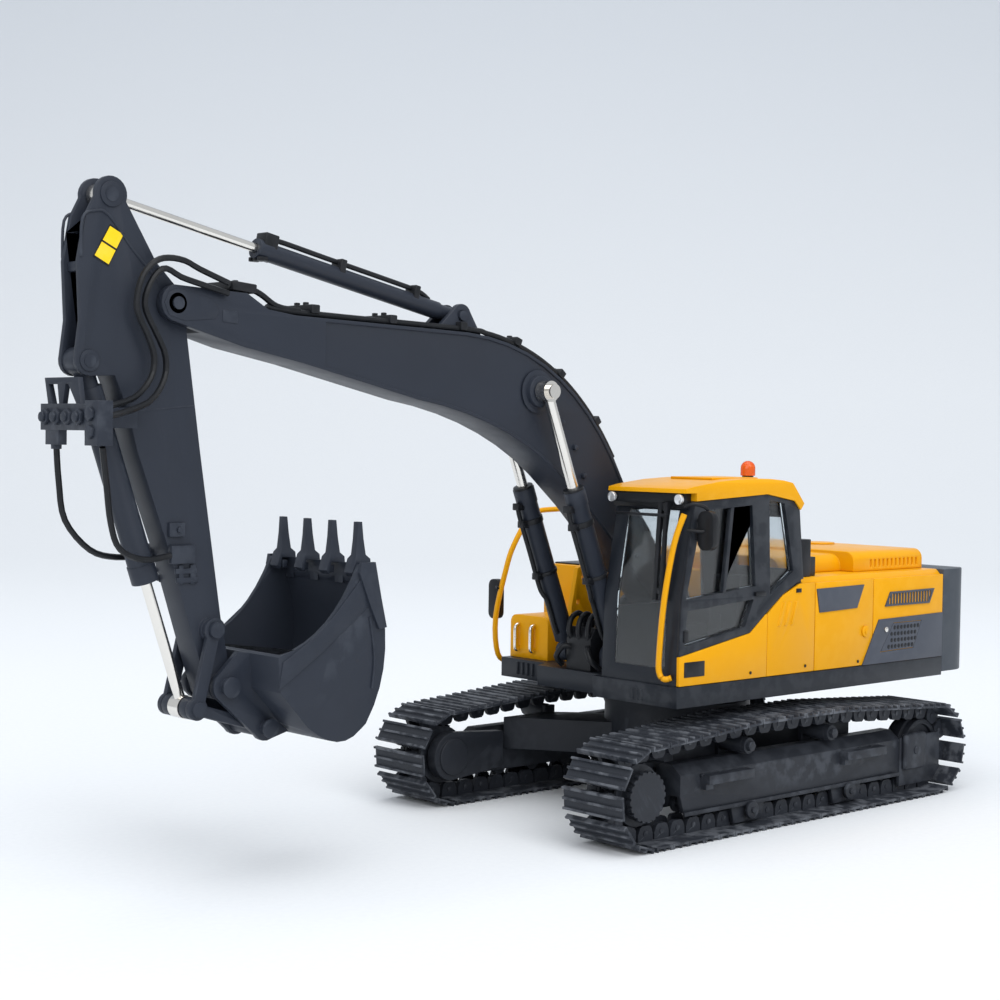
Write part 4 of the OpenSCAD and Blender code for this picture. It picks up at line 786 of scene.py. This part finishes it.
    @staticmethod
    def on_the_arm():
        """The blank decal, stepped blocks on the sides, pin collars, ridges and the hose block's nuts."""
        decal = [(120.2, 93.2), (117.9, 92.1), (120.4, 87.4), (122.8, 88.6)]
        middle = Vector((sum(p[0] for p in decal) / 4, sum(p[1] for p in decal) / 4))
        inner = [tuple(middle + (Vector(p) - middle) * 0.9) for p in decal]
        line = [tuple(Vector(decal[k]).lerp(Vector(decal[3 - k]), 0.48)) for k in (0, 1)]
        line += [tuple(Vector(decal[k]).lerp(Vector(decal[3 - k]), 0.53)) for k in (1, 0)]
        edges = [plate("edge", decal, 2.38, 2.45, 0), plate("edge", line, 2.4, 2.53, 0)]
        fix(joined("arm_decal_edges", edges), "black plastic", "arm_hoses")
        dress(plate("arm_decal", inner, 2.4, 2.5, 0), "decal yellow", body_of("arm"))
        pieces = []
        for sign in (1, -1):
            def span(near, far):
                return (near, far) if sign > 0 else (-far, -near)
            for x0, x1, z0, z1, far in ((106.4, 110.4, 46.4, 49.0, 3.3), (108.0, 110.6, 50.2, 52.2, 3.0),
                                        (105.6, 109.2, 43.6, 44.4, 2.8), (105.8, 109.4, 44.9, 45.7, 2.8),
                                        (106.0, 106.9, 43.4, 46.2, 2.75), (108.0, 108.8, 43.4, 46.2, 2.75)):
                a, b = span(2.3, far)
                pieces.append(block("step", (x0, a, z0), (x1, b, z1), 0.15))
            a, b = span(3.0, 3.4)
            pieces.append(rod("bolt", (109.0, a, 51.2), (109.0, b, 51.2), size_of("bolt"), 0.1, 6))
            a, b = span(2.3, 2.48)
            pieces.append(rod("weld", (117.2, a, 67.6), (106.6, a, 68.7), 0.16, 0))
            for c, r in (((120.0, 97.3), 1.75), ((123.2, 74.5), 1.5)):
                pieces.append(rod("collar", (c[0], a, c[1]), (c[0], b + 0.12 * sign, c[1]), r, 0.08))
            ridge = [(124.6, 88.5), (124.4, 93.6), (122.6, 94.8), (120.4, 94.4), (116.4, 89.8), (112.6, 86.2)]
            pieces.append(hose("ridge", [(x, a + 0.1 * sign, z) for x, z in ridge], 0.22, 4, 2))
        pieces.append(block("web", (123.2, -1.7, 86.6), (124.4, 1.7, 88.0), 0.3))
        fix(joined("arm_fittings", pieces), "dark paint", "arm")
        face = 126.2
        fittings = []
        for y in (-3.8, -0.8, 2.2, 5.2):
            fittings.append(rod("nut", (face - 0.1, y, 66.8), (face + 0.55, y, 66.8), 1.15, 0.15, 6))
            fittings.append(rod("cap", (face + 0.5, y, 66.8), (face + 0.95, y, 66.8), 0.7, 0.15))
        for z in (64.8, 67.2):
            fittings.append(rod("nut", (face + 0.1, 8.5, z), (face + 0.75, 8.5, z), 1.0, 0.15, 6))
        fittings.append(rod("nut", (125.3, -2.6, 63.2), (125.3, -2.6, 62.4), 0.75, 0.1, 6))
        fix(joined("hose_block_fittings", fittings), "cast dark paint", "hose_block")


class EXCAVATOR_OT_bucket(bpy.types.Operator):
    """Rounds and paints the bucket and its links"""
    bl_idname = "excavator.bucket"
    bl_label = "Bucket"

    def execute(self, context):
        refine("bucket", "dark paint", 0.1)
        self.small_pieces()
        refine("guide_links", "dark paint", 0.1)
        refine("push_link", "dark paint", 0.12)
        return {"FINISHED"}

    @staticmethod
    def small_pieces():
        """Stiffening plates and weld lines on the bucket's sides, bolts at its lip and the pins' washers."""
        stiffener = [(82.3, 44.6), (84.2, 42.4), (88.2, 38.2), (92.4, 35.0), (96.9, 32.4), (97.6, 28.4),
                     (90.0, 33.3), (84.2, 37.6), (80.6, 40.4)]
        strips = []
        for near, far in ((11.2, 11.55), (-11.55, -11.2)):
            strips.append(plate("stiffener", stiffener, near, far, 0.12))
            strips.append(hose("weld", [(81.2, (near + far) / 2, 38.0), (80.2, (near + far) / 2, 32.0),
                                        (80.6, (near + far) / 2, 27.4)], 0.2, 4, 2))
        for y in (-8.6, -3.2, 3.2, 8.6):
            strips.append(block("bolt", (82.0, y - 0.5, 44.2), (82.9, y + 0.5, 45.4), 0.15))
        for c, r in (((101.5, 28.5), 1.5), ((94.6, 22.0), 1.4)):
            for near, far in ((5.2, 5.6), (-5.6, -5.2)):
                strips.append(rod("washer", (c[0], near, c[1]), (c[0], far, c[1]), r, 0.08))
        fix(joined("bucket_plates", strips), "dark paint", "bucket")


class EXCAVATOR_OT_stage(bpy.types.Operator):
    """Sets up the floor, the lights and the camera"""
    bl_idname = "excavator.stage"
    bl_label = "Stage"

    def execute(self, context):
        settings = context.scene.excavator_stage
        sweep = self.build_sweep(settings)
        made, nodes, links, shader = new_material("studio paper")
        place = nodes.new("ShaderNodeTexCoord").outputs["Object"]
        fibre = noise_at(nodes, links, place, 900.0, 5)
        tone = blend_colour(nodes, links, spread(nodes, links, fibre, 0.3, 0.7), (0.75, 0.77, 0.795, 1),
                            (0.77, 0.79, 0.81, 1))
        height = nodes.new("ShaderNodeSeparateXYZ")
        links.new(place, height.inputs[0])
        # The paper is painted darker towards the top of the sweep: painted shade where the light falls off up
        # the wall.
        upper = spread(nodes, links, height.outputs["Z"], 0.10, 0.55)
        paper = blend_colour(nodes, links, upper, tone, (0.62, 0.65, 0.69, 1))
        links.new(paper, shader.inputs["Base Color"])
        shader.inputs["Roughness"].default_value = 0.85
        shader.inputs["Specular IOR Level"].default_value = 0.1
        sweep.data.materials.append(made)
        for name, place, aim, size, power in (
                ("key light", (0.25, 1.05, 1.0), (0.02, 0, 0.03), 1.0, 9.0),
                ("front light", (0.95, 0.35, 0.55), (0.03, 0, 0.04), 0.8, 3.0),
                ("top light", (0.05, 0.05, 1.3), (0.05, 0, 0.03), 1.2, 8.0)):
            bpy.ops.object.light_add(type="AREA", location=place)
            light = bpy.context.object
            light.name = name
            light.data.size = size
            light.data.energy = power
            light.rotation_euler = (Vector(aim) - Vector(place)).to_track_quat("-Z", "Y").to_euler()
        world = bpy.data.worlds.new("studio")
        context.scene.world = world
        world.use_nodes = True
        background = world.node_tree.nodes["Background"]
        background.inputs["Color"].default_value = (0.88, 0.92, 0.97, 1)
        background.inputs["Strength"].default_value = 0.72
        context.scene.view_settings.view_transform = "Standard"
        self.place_camera(context, settings)
        return {"FINISHED"}

    @staticmethod
    def build_sweep(settings):
        """A sheet of paper that lies on the table and curves up behind the model."""
        bpy.ops.mesh.primitive_grid_add(x_subdivisions=2, y_subdivisions=48, size=2)
        sheet = settle(bpy.context.object, "backdrop")
        start, bend, reach = 0.55, 0.9, settings.floor_reach
        away = Vector((math.cos(settings.heading), math.sin(settings.heading), 0))
        aside = Vector((-away.y, away.x, 0))
        for vertex in sheet.data.vertices:
            run = (vertex.co.y + 1) / 2 * (2.2 + start + bend * math.pi / 2 + 1.0) - 2.2
            turn = min(max((run - start) / bend, 0), math.pi / 2)
            rest = max(run - start - bend * math.pi / 2, 0)
            depth = min(run, start) + bend * math.sin(turn)
            vertex.co = (away * depth + aside * vertex.co.x * reach
                         + Vector((0, 0, bend * (1 - math.cos(turn)) + rest)))
        pick(sheet)
        bpy.ops.object.shade_smooth()
        return sheet

    @staticmethod
    def place_camera(context, settings):
        heading, pitch, roll = settings.heading, settings.pitch, settings.roll
        forward = Vector((math.cos(heading) * math.cos(pitch), math.sin(heading) * math.cos(pitch),
                          math.sin(pitch)))
        level = Vector((math.sin(heading), -math.cos(heading), 0))
        upright = level.cross(forward)
        right = math.cos(roll) * level + math.sin(roll) * upright
        up = math.cos(roll) * upright - math.sin(roll) * level
        bpy.ops.object.camera_add(location=settings.camera_place)
        camera = bpy.context.object
        camera.name = "camera"
        camera.rotation_euler = Matrix((right, up, -forward)).transposed().to_euler()
        camera.data.lens = settings.lens
        camera.data.clip_start = 0.01
        camera.data.clip_end = 20
        context.scene.camera = camera


class EXCAVATOR_PT_panel(bpy.types.Panel):
    """Lists the steps that finish the model"""
    bl_idname = "EXCAVATOR_PT_panel"
    bl_label = "Excavator"
    bl_space_type = "VIEW_3D"
    bl_region_type = "UI"
    bl_category = "Excavator"

    def draw(self, context):
        scene = context.scene
        for settings in (scene.excavator_paint, scene.excavator_sizes, scene.excavator_stage):
            for key in settings.bl_rna.properties.keys():
                if key not in ("rna_type", "name"):
                    self.layout.prop(settings, key)
        for step in STEPS:
            self.layout.operator(step.bl_idname)


STEPS = (EXCAVATOR_OT_finishes, EXCAVATOR_OT_tracks, EXCAVATOR_OT_upper_body, EXCAVATOR_OT_cab,
         EXCAVATOR_OT_boom_and_arm, EXCAVATOR_OT_bucket, EXCAVATOR_OT_stage)
CLASSES = (ExcavatorPaint, ExcavatorSizes, ExcavatorStage, *STEPS, EXCAVATOR_PT_panel)


def register():
    for cls in CLASSES:
        bpy.utils.register_class(cls)
    bpy.types.Scene.excavator_paint = PointerProperty(type=ExcavatorPaint)
    bpy.types.Scene.excavator_sizes = PointerProperty(type=ExcavatorSizes)
    bpy.types.Scene.excavator_stage = PointerProperty(type=ExcavatorStage)


def unregister():
    del bpy.types.Scene.excavator_stage
    del bpy.types.Scene.excavator_sizes
    del bpy.types.Scene.excavator_paint
    for cls in reversed(CLASSES):
        bpy.utils.unregister_class(cls)


def main():
    register()
    for step in STEPS:
        group, name = step.bl_idname.split(".")
        getattr(getattr(bpy.ops, group), name)()


if __name__ == "__main__":
    main()
